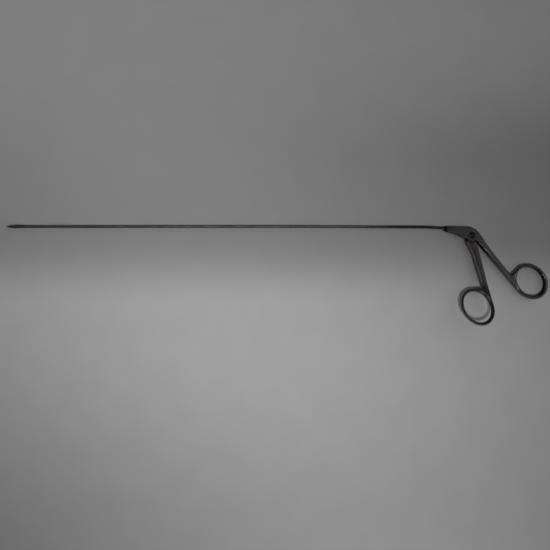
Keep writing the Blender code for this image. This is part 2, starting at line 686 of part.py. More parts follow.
def make_blade_holder():
    """Forked end piece, brazed into the tube, with the fixed blade on its lower cheek."""
    rear = HINGE_X + HOLDER_LENGTH
    barrel = wire_mesh("holder_work", [(HINGE_X, TIP_Y), (rear, TIP_Y)], HOLDER_RADIUS, 32, True)
    holder = new_object("holder_work", barrel)
    spigot = wire_mesh("spigot", [(rear - SPIGOT_OVERLAP, TIP_Y), (rear + SPIGOT_LENGTH, TIP_Y)],
                       SPIGOT_RADIUS, 24, True)
    combine(holder, new_object("spigot", spigot), "UNION")
    reach = HOLDER_RADIUS * 2
    ear = rod_cutter("ear", (HINGE_X, TIP_Y), HOLDER_RADIUS, -HOLDER_RADIUS, HOLDER_RADIUS, 40)
    front = along_cutter("ear_round", (HINGE_X - reach, TIP_Y), (HINGE_X + SPIGOT_OVERLAP / 2, TIP_Y),
                         HOLDER_RADIUS, 32)
    combine(ear, front, "INTERSECT")
    ear_mesh = evaluated_mesh(ear)
    bpy.data.objects.remove(front, do_unlink=True)
    combine(holder, new_object("ear", ear_mesh), "UNION")
    root = HINGE_X + SPIGOT_OVERLAP
    half = FORK_WIDTH / 2
    lower = [(root, TIP_Y - HOLDER_RADIUS * 0.62)] + blade_back(-1) + blade_edge(-1, root)
    blade = flat_mesh("fixed_blade", lower, -HOLDER_RADIUS + CHEEK_FLAT, -half)
    combine(holder, new_object("fixed_blade", blade), "UNION")
    fork = flat_mesh("fork_slot", box_outline(HINGE_X - reach, HINGE_X + FORK_DEPTH,
                                              TIP_Y - reach, TIP_Y + reach), -half, half)
    combine(holder, new_object("fork_slot", fork), "DIFFERENCE")
    rod_way = along_cutter("rod_way", (HINGE_X + FORK_DEPTH - SPIGOT_OVERLAP, TIP_Y),
                           (rear + SPIGOT_LENGTH + SPIGOT_OVERLAP, TIP_Y), SPIGOT_BORE, 20)
    combine(holder, rod_way, "DIFFERENCE")
    seated = HINGE_PIN_RADIUS + SEAT_GAP
    combine(holder, rod_cutter("hinge_hole", HINGE, seated, -reach, reach, 24), "DIFFERENCE")
    return finish(holder, "blade_holder", HARD)


def make_moving_blade():
    """Upper blade: a thin tang in the fork and a thicker blade in front of it."""
    low = -FORK_WIDTH / 2 + BLADE_GAP
    tang_top = low + TANG_THICKNESS
    x, y = HINGE
    heel = HOLDER_RADIUS - HINGE_DROP - BLADE_GAP
    around = DRIVE_PIN_RADIUS + TANG_WALL
    px, py = DRIVE_PIN
    front = HINGE_X - BLADE_REACH * TANG_REACH
    tang = rounded([(front, TIP_Y - BLADE_OVERLAP, 0.0), (x - heel, y - heel * 0.4, heel * 0.3),
                    (x - heel * 0.4, y - heel, heel * 0.6), (x + heel, y - heel, heel),
                    (x + heel, y + heel * 0.6, heel * 0.4), (px + around, py + around, around),
                    (px - around, py + around, around), (front, TIP_Y + BLADE_HUMP * 0.97, 0.0)])
    blade = new_object("tang", flat_mesh("tang", tang, low, tang_top))
    body = blade_back(1) + blade_edge(1, HINGE_X - BLADE_REACH * BLADE_BACK[0][0])
    thick = new_object("blade_body", flat_mesh("blade_body", body, low, BLADE_LIFT))
    clear = rod_cutter("heel_clear", HINGE, HEEL_CLEAR_RADIUS, tang_top, BLADE_LIFT * 2, 48)
    combine(thick, clear, "DIFFERENCE")
    thick_mesh = evaluated_mesh(thick)
    bpy.data.objects.remove(clear, do_unlink=True)
    combine(blade, new_object("blade_body", thick_mesh), "UNION")
    running = HINGE_PIN_RADIUS + PIN_CLEARANCE / 2
    combine(blade, rod_cutter("hinge_bore", HINGE, running, low * 2, -low * 2, 24), "DIFFERENCE")
    seated = DRIVE_PIN_RADIUS + SEAT_GAP
    combine(blade, rod_cutter("drive_bore", DRIVE_PIN, seated, low * 2, -low * 2, 20), "DIFFERENCE")
    return finish(blade, "moving_blade", HARD)


def set_origin(obj, x, y):
    """Moves an object's origin to a point on its joint's axis without moving the object."""
    for vertex in obj.data.vertices:
        vertex.co.x -= x
        vertex.co.y -= y
    obj.location = (x, y, 0.0)


def set_down(parts):
    """Puts the middle of the instrument's base at the origin by moving the empty that carries it."""
    bpy.context.view_layer.update()
    corners = [part.matrix_world @ vertex.co for part in parts for vertex in part.data.vertices]
    low = [min(c[i] for c in corners) for i in range(3)]
    high = [max(c[i] for c in corners) for i in range(3)]
    rest = bpy.data.objects.new("rest_frame", None)
    rest.empty_display_size = LINK_ARM
    PARTS.objects.link(rest)
    rest.location = (-(low[0] + high[0]) / 2, -(low[1] + high[1]) / 2, -low[2])
    for part in parts:
        part.parent = rest


def main():
    ear_face = HOLDER_RADIUS - BLADE_GAP * 2
    tang_low = -FORK_WIDTH / 2 + BLADE_GAP
    lever = make_finger_lever()
    rod = make_drive_rod()
    blade = make_moving_blade()
    set_origin(rod, *LINK)
    set_origin(blade, *HINGE)
    parts = [
        make_handle_frame(), lever, make_pivot_screw(), make_shaft_tube(), rod, make_blade_holder(), blade,
        make_pin("lever_link_pin", LINK, LINK_PIN_RADIUS, -TONGUE_THICKNESS / 2, TONGUE_THICKNESS / 2),
        make_pin("blade_pivot_pin", HINGE, HINGE_PIN_RADIUS, -ear_face, ear_face),
        make_pin("blade_drive_pin", DRIVE_PIN, DRIVE_PIN_RADIUS, tang_low, FORK_WIDTH / 2 - BLADE_GAP),
    ]
    set_down(parts)


main()
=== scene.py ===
"""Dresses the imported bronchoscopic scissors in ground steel.

The file is laid out as an add-on and run as a script. Each group of pieces has its settings, its operator and
a line in the sidebar. Lengths are metres and angles are radians in the settings. The pieces are drawn round
the pivot screw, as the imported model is, and then set down at the pivot's place in the frame.
"""

import json
import math

import bmesh
import bpy
import numpy as np
from mathutils import Matrix, Vector
from mathutils.geometry import delaunay_2d_cdt


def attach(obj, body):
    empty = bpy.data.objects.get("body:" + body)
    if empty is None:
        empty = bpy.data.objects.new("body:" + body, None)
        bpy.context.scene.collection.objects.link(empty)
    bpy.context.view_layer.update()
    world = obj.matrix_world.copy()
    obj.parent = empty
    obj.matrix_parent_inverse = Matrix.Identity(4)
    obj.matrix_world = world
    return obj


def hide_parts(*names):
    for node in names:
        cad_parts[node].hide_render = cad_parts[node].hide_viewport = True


bl_info = {
    "name": "Ring-handled tube scissors",
    "version": (1, 0, 0),
    "blender": (4, 5, 0),
    "location": "3D View > Sidebar > Scissors",
    "description": "Ground steel handle, finger lever, bent tube and fine blades, with a stage for them",
    "category": "Object",
}

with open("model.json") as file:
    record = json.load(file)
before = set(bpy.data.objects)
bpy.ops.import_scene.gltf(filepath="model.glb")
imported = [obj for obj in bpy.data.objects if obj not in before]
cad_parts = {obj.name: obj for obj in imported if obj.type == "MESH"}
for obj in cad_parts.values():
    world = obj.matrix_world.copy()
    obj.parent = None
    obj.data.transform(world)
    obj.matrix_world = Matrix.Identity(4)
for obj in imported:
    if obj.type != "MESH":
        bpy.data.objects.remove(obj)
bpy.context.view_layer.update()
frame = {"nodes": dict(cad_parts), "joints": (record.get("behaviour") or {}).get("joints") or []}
JOINTS = {joint["name"]: joint for joint in frame["joints"]}
PIVOT = Vector(JOINTS["lever_pivot"]["pos_m"])

# Outline of the handle frame, from the pivot. A belly point is a share of the nose's reach, a height and a
# radius. A taper or a run is where a change starts along the shank or the lever, and its length.
NOSE_REACH = 0.0242
NOSE_TOP = 0.0084
NOSE_BOTTOM = 0.0040
BELLY = ((0.27, -0.0026, 0.003), (0.52, 0.0004, 0.020), (0.81, 0.0026, 0.020))
SHOULDER = (0.0029, 0.0078)
SHOULDER_RADIUS = 0.0140
LOBE_RADIUS = 0.0056
LOBE_REAR_ANGLE = -48.0
LOBE_FRONT_ANGLE = -128.0
SHANK_BACK = (0.0205, -0.0163)
SHANK_BACK_RADIUS = 0.0600
NOSE_CORNERS = (0.0018, 0.0006)
NOSE_TAPER = 0.0080
MOUTH_LENGTH = 0.0032
SHANK_TAPER = (0.0120, 0.0360)
SHANK_ROUNDING_RUN = (0.0065, 0.0090)
REAR_NOTCH = (0.0363, -0.0356)
REAR_RING_CENTRE = (0.05425, -0.0419)
REAR_RING_TILT = -47.5
RING_OVERLAP = 0.00025

# Outline of the finger lever
LEVER_GAP = 0.0003
LEVER_REAR_ANGLE = -53.0
LEVER_FRONT_ANGLE = -127.0
LEVER_CORNER = (-0.0053, -0.0052)
LEVER_FRONT_BEND = (0.0009, -0.0173)
LEVER_REAR_BEND = (0.0063, -0.0110)
LEVER_BEND_RADIUS = 0.0240
LEVER_SHOULDER_CORNER = 0.0005
LEVER_SHOULDER_ROUNDING = 0.0004
LEVER_UNDER_ROUNDING = 0.0005
LEVER_ROUNDING_RUN = (0.0075, 0.0060)
LEVER_RISE_EASE = 0.0025
RING_RISE_EASE = 0.0040
FRONT_NOTCH = (0.0094, -0.0483)
FRONT_NOTCH_CORNER = 0.0004
FRONT_RING_CENTRE = (0.0034, -0.06475)
FRONT_RING_TILT = -59.5

# Slot, tongue, fork and bores. The slot's corners are the tight, the middle and the wide one.
SLOT_HALF = 0.0012
SLOT_FRONT = 0.0050
SLOT_REAR = 0.0041
SLOT_STEP = 0.0022
SLOT_NOSE_FLOOR = 0.0036
SLOT_HEEL = (0.0024, 0.0042)
SLOT_CORNERS = (0.0003, 0.0005, 0.0008)
TONGUE_HALF = 0.0011
TONGUE_HALF_WIDTH = 0.0034
TONGUE_ROOT = 0.0085
TONGUE_STEP = 0.0012
TONGUE_CORNERS = (0.0022, 0.0008)
LINK_ARM = 0.0049
LINK_LEAD = 6.0
LINK_EYE_RADIUS = 0.0011
FORK_HALF = 0.00055
FORK_FLOOR = 0.0032
ROD_EYE_LENGTH = 0.0045
EYE_ROOM = 0.0025
LINK_PIN_RADIUS = 0.0006
SCREW_RADIUS = 0.0017
SCREW_TIP_RADIUS = 0.0014
SCREW_CHAMFER = 0.0002
SCREW_SINK = 0.0001
HEAD_GAP = 0.00025
HEAD_EDGE = 0.00036
SEAT_GAP = 0.00004
RUNNING_GAP = 0.00008

# Shaft line
TUBE_INSERT = 0.0122
SHAFT_AXIS_AT_NOSE = 0.0067
BORE_SLOPE = 3.15
BEND_TO_NOSE = 0.0170
BOW_TO_BEND = 0.1138
BOW_SLOPE = 0.26
BEND_RADIUS = 0.0600
BOW_RADIUS = 2.0

# Tip
WORKING_LENGTH = 0.4000
BLADE_REACH = 0.0114
HOLDER_LENGTH = 0.0060

# Places of painted shade, darker where shade falls between parts: a middle from the pivot, the radius that is fully
# dark, and the radius where it ends
SHOULDER_SHADE = ((-0.0050, -0.0033), 0.0007, 0.0016)
CROTCH_SHADE = ((0.0085, -0.0105), 0.0055, 0.0115)
MOUTH_SHADE_MIDDLE = 0.0058
MOUTH_SHADE_FULL = 0.0020
MOUTH_SHADE_BELOW = 0.0042
MOUTH_SHADE_ABOVE = 0.0030

# Roundness of the forms: how far in from the edge a face's rolled edge and its crown end, and the exponent of
# the rings' soft square section
ROLL_END = 1.12
CROWN_REACH = 0.0032
RING_SQUARENESS = 2.6

# Fineness of the meshes
ARC_STEP = 3.0
EDGE_STEP = 0.00035
RING_TURNS = 160
BAR_SIDES = 40
SMOOTH_ANGLE = math.radians(30.0)

# Where wear and dullness start: turns between faces, their bend, and how far a face points up
FLAT_TURN = 0.08
SHORTEST_SPAN = 0.00012
FULL_BEND = 1400.0
SCREW_FULL_BEND = 3000.0
SIDE_START = 0.72
SIDE_SPAN = 0.45
SIDE_DULLNESS = 0.34


def polar(radius, degrees):
    """The x and y of a point at a radius and an angle."""
    angle = math.radians(degrees)
    return radius * math.cos(angle), radius * math.sin(angle)


LINK = polar(LINK_ARM, 90.0 + LINK_LEAD)


def arc(centre, radius, start, end):
    """Points on a circle from one angle to another, both included."""
    count = max(2, math.ceil(abs(end - start) / ARC_STEP))
    points = []
    for i in range(count + 1):
        dx, dy = polar(radius, start + (end - start) * i / count)
        points.append((centre[0] + dx, centre[1] + dy))
    return points


def rounded(corners, closed=True):
    """Turns (x, y, radius) corners into points, with an arc at each corner that has a radius."""
    points = []
    count = len(corners)
    for i, (x, y, radius) in enumerate(corners):
        if radius <= 0 or (not closed and i in (0, count - 1)):
            points.append((x, y))
            continue
        px, py = corners[i - 1][:2]
        nx, ny = corners[(i + 1) % count][:2]
        before = math.atan2(y - py, x - px)
        after = math.atan2(ny - y, nx - x)
        turn = (after - before + math.pi) % (2 * math.pi) - math.pi
        if abs(turn) < 1e-4:
            points.append((x, y))
            continue
        room = 0.48 * min(math.hypot(x - px, y - py), math.hypot(nx - x, ny - y))
        reach = min(radius * math.tan(abs(turn) / 2), room)
        radius = reach / math.tan(abs(turn) / 2)
        side = math.copysign(1.0, turn)
        start = (x - reach * math.cos(before), y - reach * math.sin(before))
        centre = (start[0] - side * radius * math.sin(before), start[1] + side * radius * math.cos(before))
        first = math.degrees(before) - 90 * side
        points += arc(centre, radius, first, first + math.degrees(turn))
    return points


class Oval:
    """A finger ring in plan: the ellipse along the middle of its bar."""

    def __init__(self, centre, half_length, half_breadth, tilt, bar_width):
        self.centre = centre
        self.size = (half_length + bar_width / 2, half_breadth + bar_width / 2)
        self.tilt = math.radians(tilt)
        self.under = bar_width / 2 - RING_OVERLAP

    def point(self, angle, offset=0.0):
        """The point at a parameter angle, moved outwards by offset along the normal."""
        long, short = self.size
        x, y = long * math.cos(angle), short * math.sin(angle)
        nx, ny = short * math.cos(angle), long * math.sin(angle)
        length = math.hypot(nx, ny)
        x += offset * nx / length
        y += offset * ny / length
        c, s = math.cos(self.tilt), math.sin(self.tilt)
        return self.centre[0] + x * c - y * s, self.centre[1] + x * s + y * c

    def tangent(self, start, side, offset):
        """The parameter angle where a line from a point outside touches the oval grown by offset."""
        dx, dy = start[0] - self.centre[0], start[1] - self.centre[1]
        c, s = math.cos(self.tilt), math.sin(self.tilt)
        u = (dx * c + dy * s) / (self.size[0] + offset)
        v = (dy * c - dx * s) / (self.size[1] + offset)
        return math.atan2(v, u) + side * math.acos(min(1.0, 1.0 / math.hypot(u, v)))

    def sweep(self, start, end):
        """Points on the middle line from one parameter angle round to another, the short way."""
        turn = (end - start + math.pi) % (2 * math.pi) - math.pi
        count = max(2, math.ceil(abs(math.degrees(turn)) / ARC_STEP))
        return [self.point(start + turn * i / count) for i in range(count + 1)]


# Settings that a user would change

def length_setting(name, description, default):
    return bpy.props.FloatProperty(name=name, description=description, default=default, unit="LENGTH")


def slope_setting(name, description, default):
    return bpy.props.FloatProperty(name=name, description=description, default=default, unit="NONE")


def angle_setting(name, description, degrees):
    return bpy.props.FloatProperty(name=name, description=description, default=math.radians(degrees),
                                   subtype="ANGLE")


def colour_setting(name, description, default):
    return bpy.props.FloatVectorProperty(name=name, description=description, default=default, subtype="COLOR",
                                         min=0.0, max=1.0)


class HandleSettings(bpy.types.PropertyGroup):
    thickness: length_setting("Body thickness", "Thickness of the frame at the pivot", 0.0060)
    nose_thickness: length_setting("Nose thickness", "Thickness at the tube's mouth", 0.0048)
    shank_thickness: length_setting("Shank thickness", "Thickness next to the rear ring", 0.0050)
    body_rounding: length_setting("Body rounding", "Radius of the body's ground edges", 0.0006)
    nose_rounding: length_setting("Nose rounding", "Further rounding at the tube's mouth", 0.0007)
    shank_rounding: length_setting("Shank rounding", "Radius of the shank's long edges", 0.0017)
    crown: length_setting("Crown", "Height that the shank's face bulges by", 0.00010)
    ring_half_length: length_setting("Ring half length", "Half the opening, the long way", 0.0142)
    ring_half_breadth: length_setting("Ring half breadth", "Half the opening, across", 0.0112)
    bar_width: length_setting("Bar width", "Width of the ring's bar in plan", 0.0034)
    bar_thickness: length_setting("Bar thickness", "Thickness of the ring's bar", 0.0054)


class LeverSettings(bpy.types.PropertyGroup):
    thickness: length_setting("Lever thickness", "Thickness of the lever's shank", 0.0052)
    rounding: length_setting("Edge rounding", "Radius of the lever's edges", 0.0008)
    crown: length_setting("Crown", "Height that the lever's face bulges by", 0.00032)
    rise: slope_setting("Lever rise", "Rise of the lever for each metre to the ring", 0.0913)
    rise_start: length_setting("Rise start", "Distance below the pivot where it starts", 0.0100)
    ring_rise: slope_setting("Ring rise", "Further rise of the ring for each metre", 0.1400)
    ring_rise_start: length_setting("Ring rise start", "Distance below the pivot", 0.0465)
    ring_half_length: length_setting("Ring half length", "Half the opening, the long way", 0.0144)
    ring_half_breadth: length_setting("Ring half breadth", "Half the opening, across", 0.0115)
    bar_width: length_setting("Bar width", "Width of the ring's bar in plan", 0.0028)
    bar_thickness: length_setting("Bar thickness", "Thickness of the ring's bar", 0.0044)


class ScrewSettings(bpy.types.PropertyGroup):
    head_radius: length_setting("Head radius", "Radius of the pivot screw's head", 0.0026)
    head_height: length_setting("Head height", "Height of the head below its face", 0.0012)
    dome: length_setting("Dome", "Drop of the head's face towards its rim", 0.00030)
    slot_width: length_setting("Slot width", "Width of the driver slot", 0.0007)
    slot_depth: length_setting("Slot depth", "Depth of the driver slot", 0.0006)
    slot_turn: angle_setting("Slot turn", "Direction of the driver slot in plan", -52.0)


class ShaftSettings(bpy.types.PropertyGroup):
    radius: length_setting("Tube radius", "Outside radius of the tube", 0.0013)
    wall: length_setting("Tube wall", "Thickness of the tube's wall", 0.00038)
    fibre_radius: length_setting("Fibre radius", "Radius of the lint fibre on the tube", 0.00009)


class SteelSettings(bpy.types.PropertyGroup):
    satin: colour_setting("Satin steel", "Colour of the ground handle", (0.385, 0.36, 0.345))
    drawn: colour_setting("Drawn steel", "Colour of the tube", (0.42, 0.41, 0.385))
    hard: colour_setting("Hard steel", "Colour of the blades and pins", (0.29, 0.285, 0.28))
    screw: colour_setting("Screw steel", "Colour of the pivot screw", (0.16, 0.152, 0.147))


class StageSettings(bpy.types.PropertyGroup):
    table: colour_setting("Table", "Tint of the table", (1.0, 0.99, 0.99))
    table_size: length_setting("Table size", "Side of the square table", 4.0)
    camera_height: length_setting("Camera height", "Height of the lens over the table", 0.506)
    camera_angle: angle_setting("Camera angle", "Angle of view across the picture", 53.06)
    key_angle: angle_setting("Key size", "Angle that the key lamp fills", 7.0)


# Mesh tools

def stray(name, data):
    """A working object, linked so that its modifiers can be evaluated."""
    obj = bpy.data.objects.new(name, data)
    bpy.context.scene.collection.objects.link(obj)
    return obj


def welded(mesh, gap=None):
    """Turns the faces outwards, and first joins points that are closer than a gap."""
    work = bmesh.new()
    work.from_mesh(mesh)
    if gap:
        bmesh.ops.remove_doubles(work, verts=work.verts, dist=gap)
    bmesh.ops.recalc_face_normals(work, faces=work.faces)
    work.to_mesh(mesh)
    work.free()
    return mesh


def baked(obj):
    """The object's evaluated mesh, welded; the object is removed."""
    bpy.context.view_layer.update()
    graph = bpy.context.evaluated_depsgraph_get()
    mesh = bpy.data.meshes.new_from_object(obj.evaluated_get(graph))
    bpy.data.objects.remove(obj, do_unlink=True)
    return welded(mesh, 1e-7)


def poly_mesh(name, vertices, faces):
    """A mesh from plain lists or arrays of points and faces."""
    mesh = bpy.data.meshes.new(name)
    mesh.from_pydata([tuple(v) for v in vertices], [], [tuple(f) for f in faces])
    mesh.update()
    return mesh


def plate(name, outline, low, high):
    """A flat plate with the given outline between two heights."""
    count = len(outline)
    vertices = [(x, y, low) for x, y in outline] + [(x, y, high) for x, y in outline]
    sides = [(i, (i + 1) % count, (i + 1) % count + count, i + count) for i in range(count)]
    return welded(poly_mesh(name, vertices, sides + [tuple(range(count))[::-1], tuple(range(count, 2 * count))]))


def post(name, centre, radius, low, high, sides=64):
    """An upright round bar."""
    outline = [(centre[0] + radius * math.cos(2 * math.pi * i / sides),
                centre[1] + radius * math.sin(2 * math.pi * i / sides)) for i in range(sides)]
    return plate(name, outline, low, high)


def box_outline(left, right, front, back):
    """The corners of a rectangle in plan."""
    return [(left, front), (right, front), (right, back), (left, back)]


def resampled(line, step):
    """The line with points added, so that no side is longer than a step. Its last point is left out."""
    points = []
    for a, b in zip(line, line[1:]):
        count = max(1, math.ceil(math.dist(a, b) / step))
        points += [(a[0] + (b[0] - a[0]) * i / count, a[1] + (b[1] - a[1]) * i / count) for i in range(count)]
    return points


def eased_share(value):
    """A share between nought and one, with soft ends."""
    share = np.clip(value, 0.0, 1.0)
    return share * share * (3 - 2 * share)


def edge_distance(points, outline):
    """Distance from each point to the closed outline."""
    run = np.roll(outline, -1, axis=0) - outline
    length = (run ** 2).sum(axis=1)
    found = []
    for part in np.array_split(points, max(1, len(points) // 500)):
        offset = part[:, None, :] - outline[None]
        share = np.clip((offset * run).sum(axis=2) / length, 0.0, 1.0)
        gap = offset - share[..., None] * run
        found.append(np.sqrt((gap ** 2).sum(axis=2).min(axis=1)))
    return np.concatenate(found)


def inside(points, outline):
    """Whether each point is inside the closed outline."""
    ends = np.roll(outline, -1, axis=0)
    result = np.zeros(len(points), dtype=bool)
    for (x0, y0), (x1, y1) in zip(outline, ends):
        crosses = (y0 > points[:, 1]) != (y1 > points[:, 1])
        with np.errstate(divide="ignore", invalid="ignore"):
            at = (x1 - x0) * (points[:, 1] - y0) / (y1 - y0) + x0
        result ^= crosses & (points[:, 0] < at)
    return result


def pillow(name, outline, half, rounding, under, crown, rows=8, grid=0.0007):
    """A plate whose faces roll over at the edge and bulge by the crown over a shank's half width.

    half and rounding take arrays of x and y, so that both can change along the plate. under is the smaller
    rounding of the side that lies on the table."""
    edge = np.array(resampled(outline + outline[:1], EDGE_STEP))
    area = (edge[:, 0] * np.roll(edge[:, 1], -1) - np.roll(edge[:, 0], -1) * edge[:, 1]).sum()
    if area < 0:
        edge = edge[::-1].copy()
    along = np.roll(edge, -1, axis=0) - np.roll(edge, 1, axis=0)
    along /= np.linalg.norm(along, axis=1)[:, None]
    inward = np.stack([-along[:, 1], along[:, 0]], axis=1)
    radius = rounding(edge[:, 0], edge[:, 1])
    points = []
    shares = [1 - math.cos(math.pi / 2 * row / rows) for row in range(1, rows + 1)] + [ROLL_END]
    for share in shares:
        depth = radius * share
        moved = edge + inward * depth[:, None]
        true = edge_distance(moved, edge)
        points.append(moved[true > depth * 0.985])
    low, high = edge.min(axis=0), edge.max(axis=0)
    xs, ys = np.meshgrid(np.arange(low[0], high[0], grid), np.arange(low[1], high[1], grid * 0.87))
    xs = xs + (np.arange(xs.shape[0]) % 2)[:, None] * grid / 2
    field = np.stack([xs.ravel(), ys.ravel()], axis=1)
    field = field[inside(field, edge)]
    clear = edge_distance(field, edge) > ROLL_END * rounding(field[:, 0], field[:, 1]) + grid * 0.5
    points.append(field[clear])
    everything = np.concatenate([edge] + points)
    count = len(edge)
    rim = [(i, (i + 1) % count) for i in range(count)]
    flat, _, triangles, _, _, _ = delaunay_2d_cdt([Vector(p) for p in everything], rim, [], 1, 1e-9)
    flat = np.array([tuple(v) for v in flat])
    depth = edge_distance(flat, edge)
    depth[depth < 1e-7] = 0.0
    bulge = crown * np.clip(1 - depth / CROWN_REACH, 0.0, 1.0) ** 2

    def height(radius):
        inner = np.clip(radius - depth, 0.0, None)
        roll = np.sqrt(np.clip(radius ** 2 - inner ** 2, 0.0, None))
        return half(flat[:, 0], flat[:, 1]) - radius + roll - bulge

    total = len(flat)
    above = height(rounding(flat[:, 0], flat[:, 1]))
    below = -height(np.full(total, under))
    vertices = [(x, y, z) for (x, y), z in zip(flat, above)] + [(x, y, z) for (x, y), z in zip(flat, below)]
    faces = []
    seen = {}
    for a, b, c in triangles:
        (ax, ay), (bx, by), (cx, cy) = flat[a], flat[b], flat[c]
        if (bx - ax) * (cy - ay) - (by - ay) * (cx - ax) < 0:
            b, c = c, b
        faces += [(a, b, c), (c + total, b + total, a + total)]
        for start, end in ((a, b), (b, c), (c, a)):
            key = (min(start, end), max(start, end))
            seen[key] = None if key in seen else (start, end)
    faces += [(end, start, start + total, end + total) for start, end in filter(None, seen.values())]
    return poly_mesh(name, vertices, faces)


def combine(obj, mesh, operation):
    """Adds an exact boolean with a mesh of its own."""
    other = stray(mesh.name, mesh)
    modifier = obj.modifiers.new(operation.lower(), "BOOLEAN")
    modifier.operation = operation
    modifier.solver = "EXACT"
    modifier.object = other


def worked(obj):
    """The mesh of an object with its booleans applied, their cutters removed."""
    cutters = [m.object for m in obj.modifiers if m.type == "BOOLEAN"]
    mesh = baked(obj)
    for cutter in cutters:
        bpy.data.objects.remove(cutter, do_unlink=True)
    return mesh


def paint_wear(mesh, full=FULL_BEND):
    """Stores how sharply the surface turns outwards, so that the steel can be brighter on its edges.

    full is the bend, in radians for each metre, at which an edge is fully worn."""
    work = bmesh.new()
    work.from_mesh(mesh)
    work.normal_update()
    value = [0.0] * len(work.verts)
    for edge in work.edges:
        if len(edge.link_faces) != 2:
            continue
        first, second = edge.link_faces
        span = (first.calc_center_median() - second.calc_center_median()).length
        if span < 1e-9 or not edge.is_convex:
            continue
        turn = max(0.0, first.normal.angle(second.normal, 0.0) - FLAT_TURN)
        bend = turn / max(span, SHORTEST_SPAN) / full
        for vertex in edge.verts:
            value[vertex.index] = max(value[vertex.index], min(1.0, bend))
    for _ in range(2):
        soft = list(value)
        for vertex in work.verts:
            near = [value[e.other_vert(vertex).index] for e in vertex.link_edges]
            if near:
                soft[vertex.index] = 0.5 * value[vertex.index] + 0.5 * sum(near) / len(near)
        value = soft
    work.free()
    attribute = mesh.attributes.new("wear", "FLOAT", "POINT")
    attribute.data.foreach_set("value", value)


def paint_sides_and_shade(mesh, black_shade_places, shade_places):
    """Stores how far the surface is darkened, in the attribute dull_and_shade: a third on upright sides, nearly black
    in the places of painted black shade, and painted shade all over in the other shade places. A place is a function
    of x and y."""
    value = []
    for vertex in mesh.vertices:
        upright = min(1.0, max(0.0, (SIDE_START - vertex.normal.z) / SIDE_SPAN))
        black = max(place(vertex.co.x, vertex.co.y) for place in black_shade_places)
        painted_shade = max(place(vertex.co.x, vertex.co.y) for place in shade_places)
        # Upright sides are darkened by a third, and the places add painted shade
        value.append(max(upright * (SIDE_DULLNESS + (1.0 - SIDE_DULLNESS) * black), painted_shade))
    attribute = mesh.attributes.new("dull_and_shade", "FLOAT", "POINT")
    attribute.data.foreach_set("value", value)


def fade(value, start, end):
    """One below the start, nought past the end."""
    share = min(1.0, max(0.0, (value - start) / (end - start)))
    return 1.0 - share * share * (3.0 - 2.0 * share)


def ring_hole(oval):
    """The inside of a finger ring, as a place of painted black shade on its inner walls."""
    def place(x, y):
        dx, dy = x - oval.centre[0], y - oval.centre[1]
        c, n = math.cos(oval.tilt), math.sin(oval.tilt)
        long, short = oval.size
        share = math.hypot((dx * c + dy * n) / long, (dy * c - dx * n) / short)
        return fade(share, 0.96, 1.02)
    return place


def round_place(place):
    """A round place with soft edges, from its centre, its full radius and its outer radius."""
    (centre_x, centre_y), full, end = place
    return lambda x, y: fade(math.hypot(x - centre_x, y - centre_y), full, end)


def smoothed(mesh):
    """Shades the mesh smooth, apart from its sharp edges."""
    mesh.shade_smooth()
    mesh.set_sharp_from_angle(angle=SMOOTH_ANGLE)


def set_down(name, mesh, material, body, slot, *nodes):
    """Makes a mesh drawn round the pivot the finished piece that stands for the given nodes."""
    mesh.transform(Matrix.Translation(PIVOT))
    mesh.materials.clear()
    mesh.materials.append(material)
    obj = stray(name, mesh)
    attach(obj, body)
    if nodes:
        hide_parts(*nodes)


# Geometry node trees

def add(tree, kind, links=None, **settings):
    """A node with its settings, and its inputs given as sockets or plain values."""
    made = tree.nodes.new(kind)
    for key, value in settings.items():
        setattr(made, key, value)
    for key, value in (links or {}).items():
        socket = made.inputs[key]
        if isinstance(value, bpy.types.NodeSocket):
            tree.links.new(value, socket)
        else:
            socket.default_value = value
    return made


def new_tree(name, inputs):
    """A geometry tree with named inputs, and the sockets that they arrive at."""
    tree = bpy.data.node_groups.new(name, "GeometryNodeTree")
    tree.interface.new_socket("Geometry", in_out="INPUT", socket_type="NodeSocketGeometry")
    for label, kind in inputs:
        tree.interface.new_socket(label, in_out="INPUT", socket_type=kind)
    tree.interface.new_socket("Geometry", in_out="OUTPUT", socket_type="NodeSocketGeometry")
    return tree, tree.nodes.new("NodeGroupInput").outputs


def close_tree(tree, geometry, material):
    """Ends a tree in smooth shading, Realize Instances and Set Material."""
    smooth = add(tree, "GeometryNodeSetShadeSmooth", {"Geometry": geometry, "Shade Smooth": True})
    real = add(tree, "GeometryNodeRealizeInstances", {"Geometry": smooth.outputs[0]})
    painted = add(tree, "GeometryNodeSetMaterial", {"Geometry": real.outputs[0], "Material": material})
    output = tree.nodes.new("NodeGroupOutput")
    tree.links.new(painted.outputs[0], output.inputs[0])


def set_inputs(modifier, values):
    """Sets a tree's inputs by the identifiers of their sockets."""
    for item in modifier.node_group.interface.items_tree:
        if item.item_type == "SOCKET" and item.in_out == "INPUT" and item.name in values:
            modifier[item.identifier] = values[item.name]


def maths(tree, operation, *values):
    """The result of a Math node on sockets or plain numbers."""
    return add(tree, "ShaderNodeMath", dict(enumerate(values)), operation=operation).outputs[0]


def soft_square(tree, component, exponent, half):
    """One coordinate of a circle pushed out towards a soft square of the given half size."""
    power = maths(tree, "POWER", maths(tree, "ABSOLUTE", component), exponent)
    return maths(tree, "MULTIPLY", maths(tree, "MULTIPLY", power, maths(tree, "SIGN", component)), half)


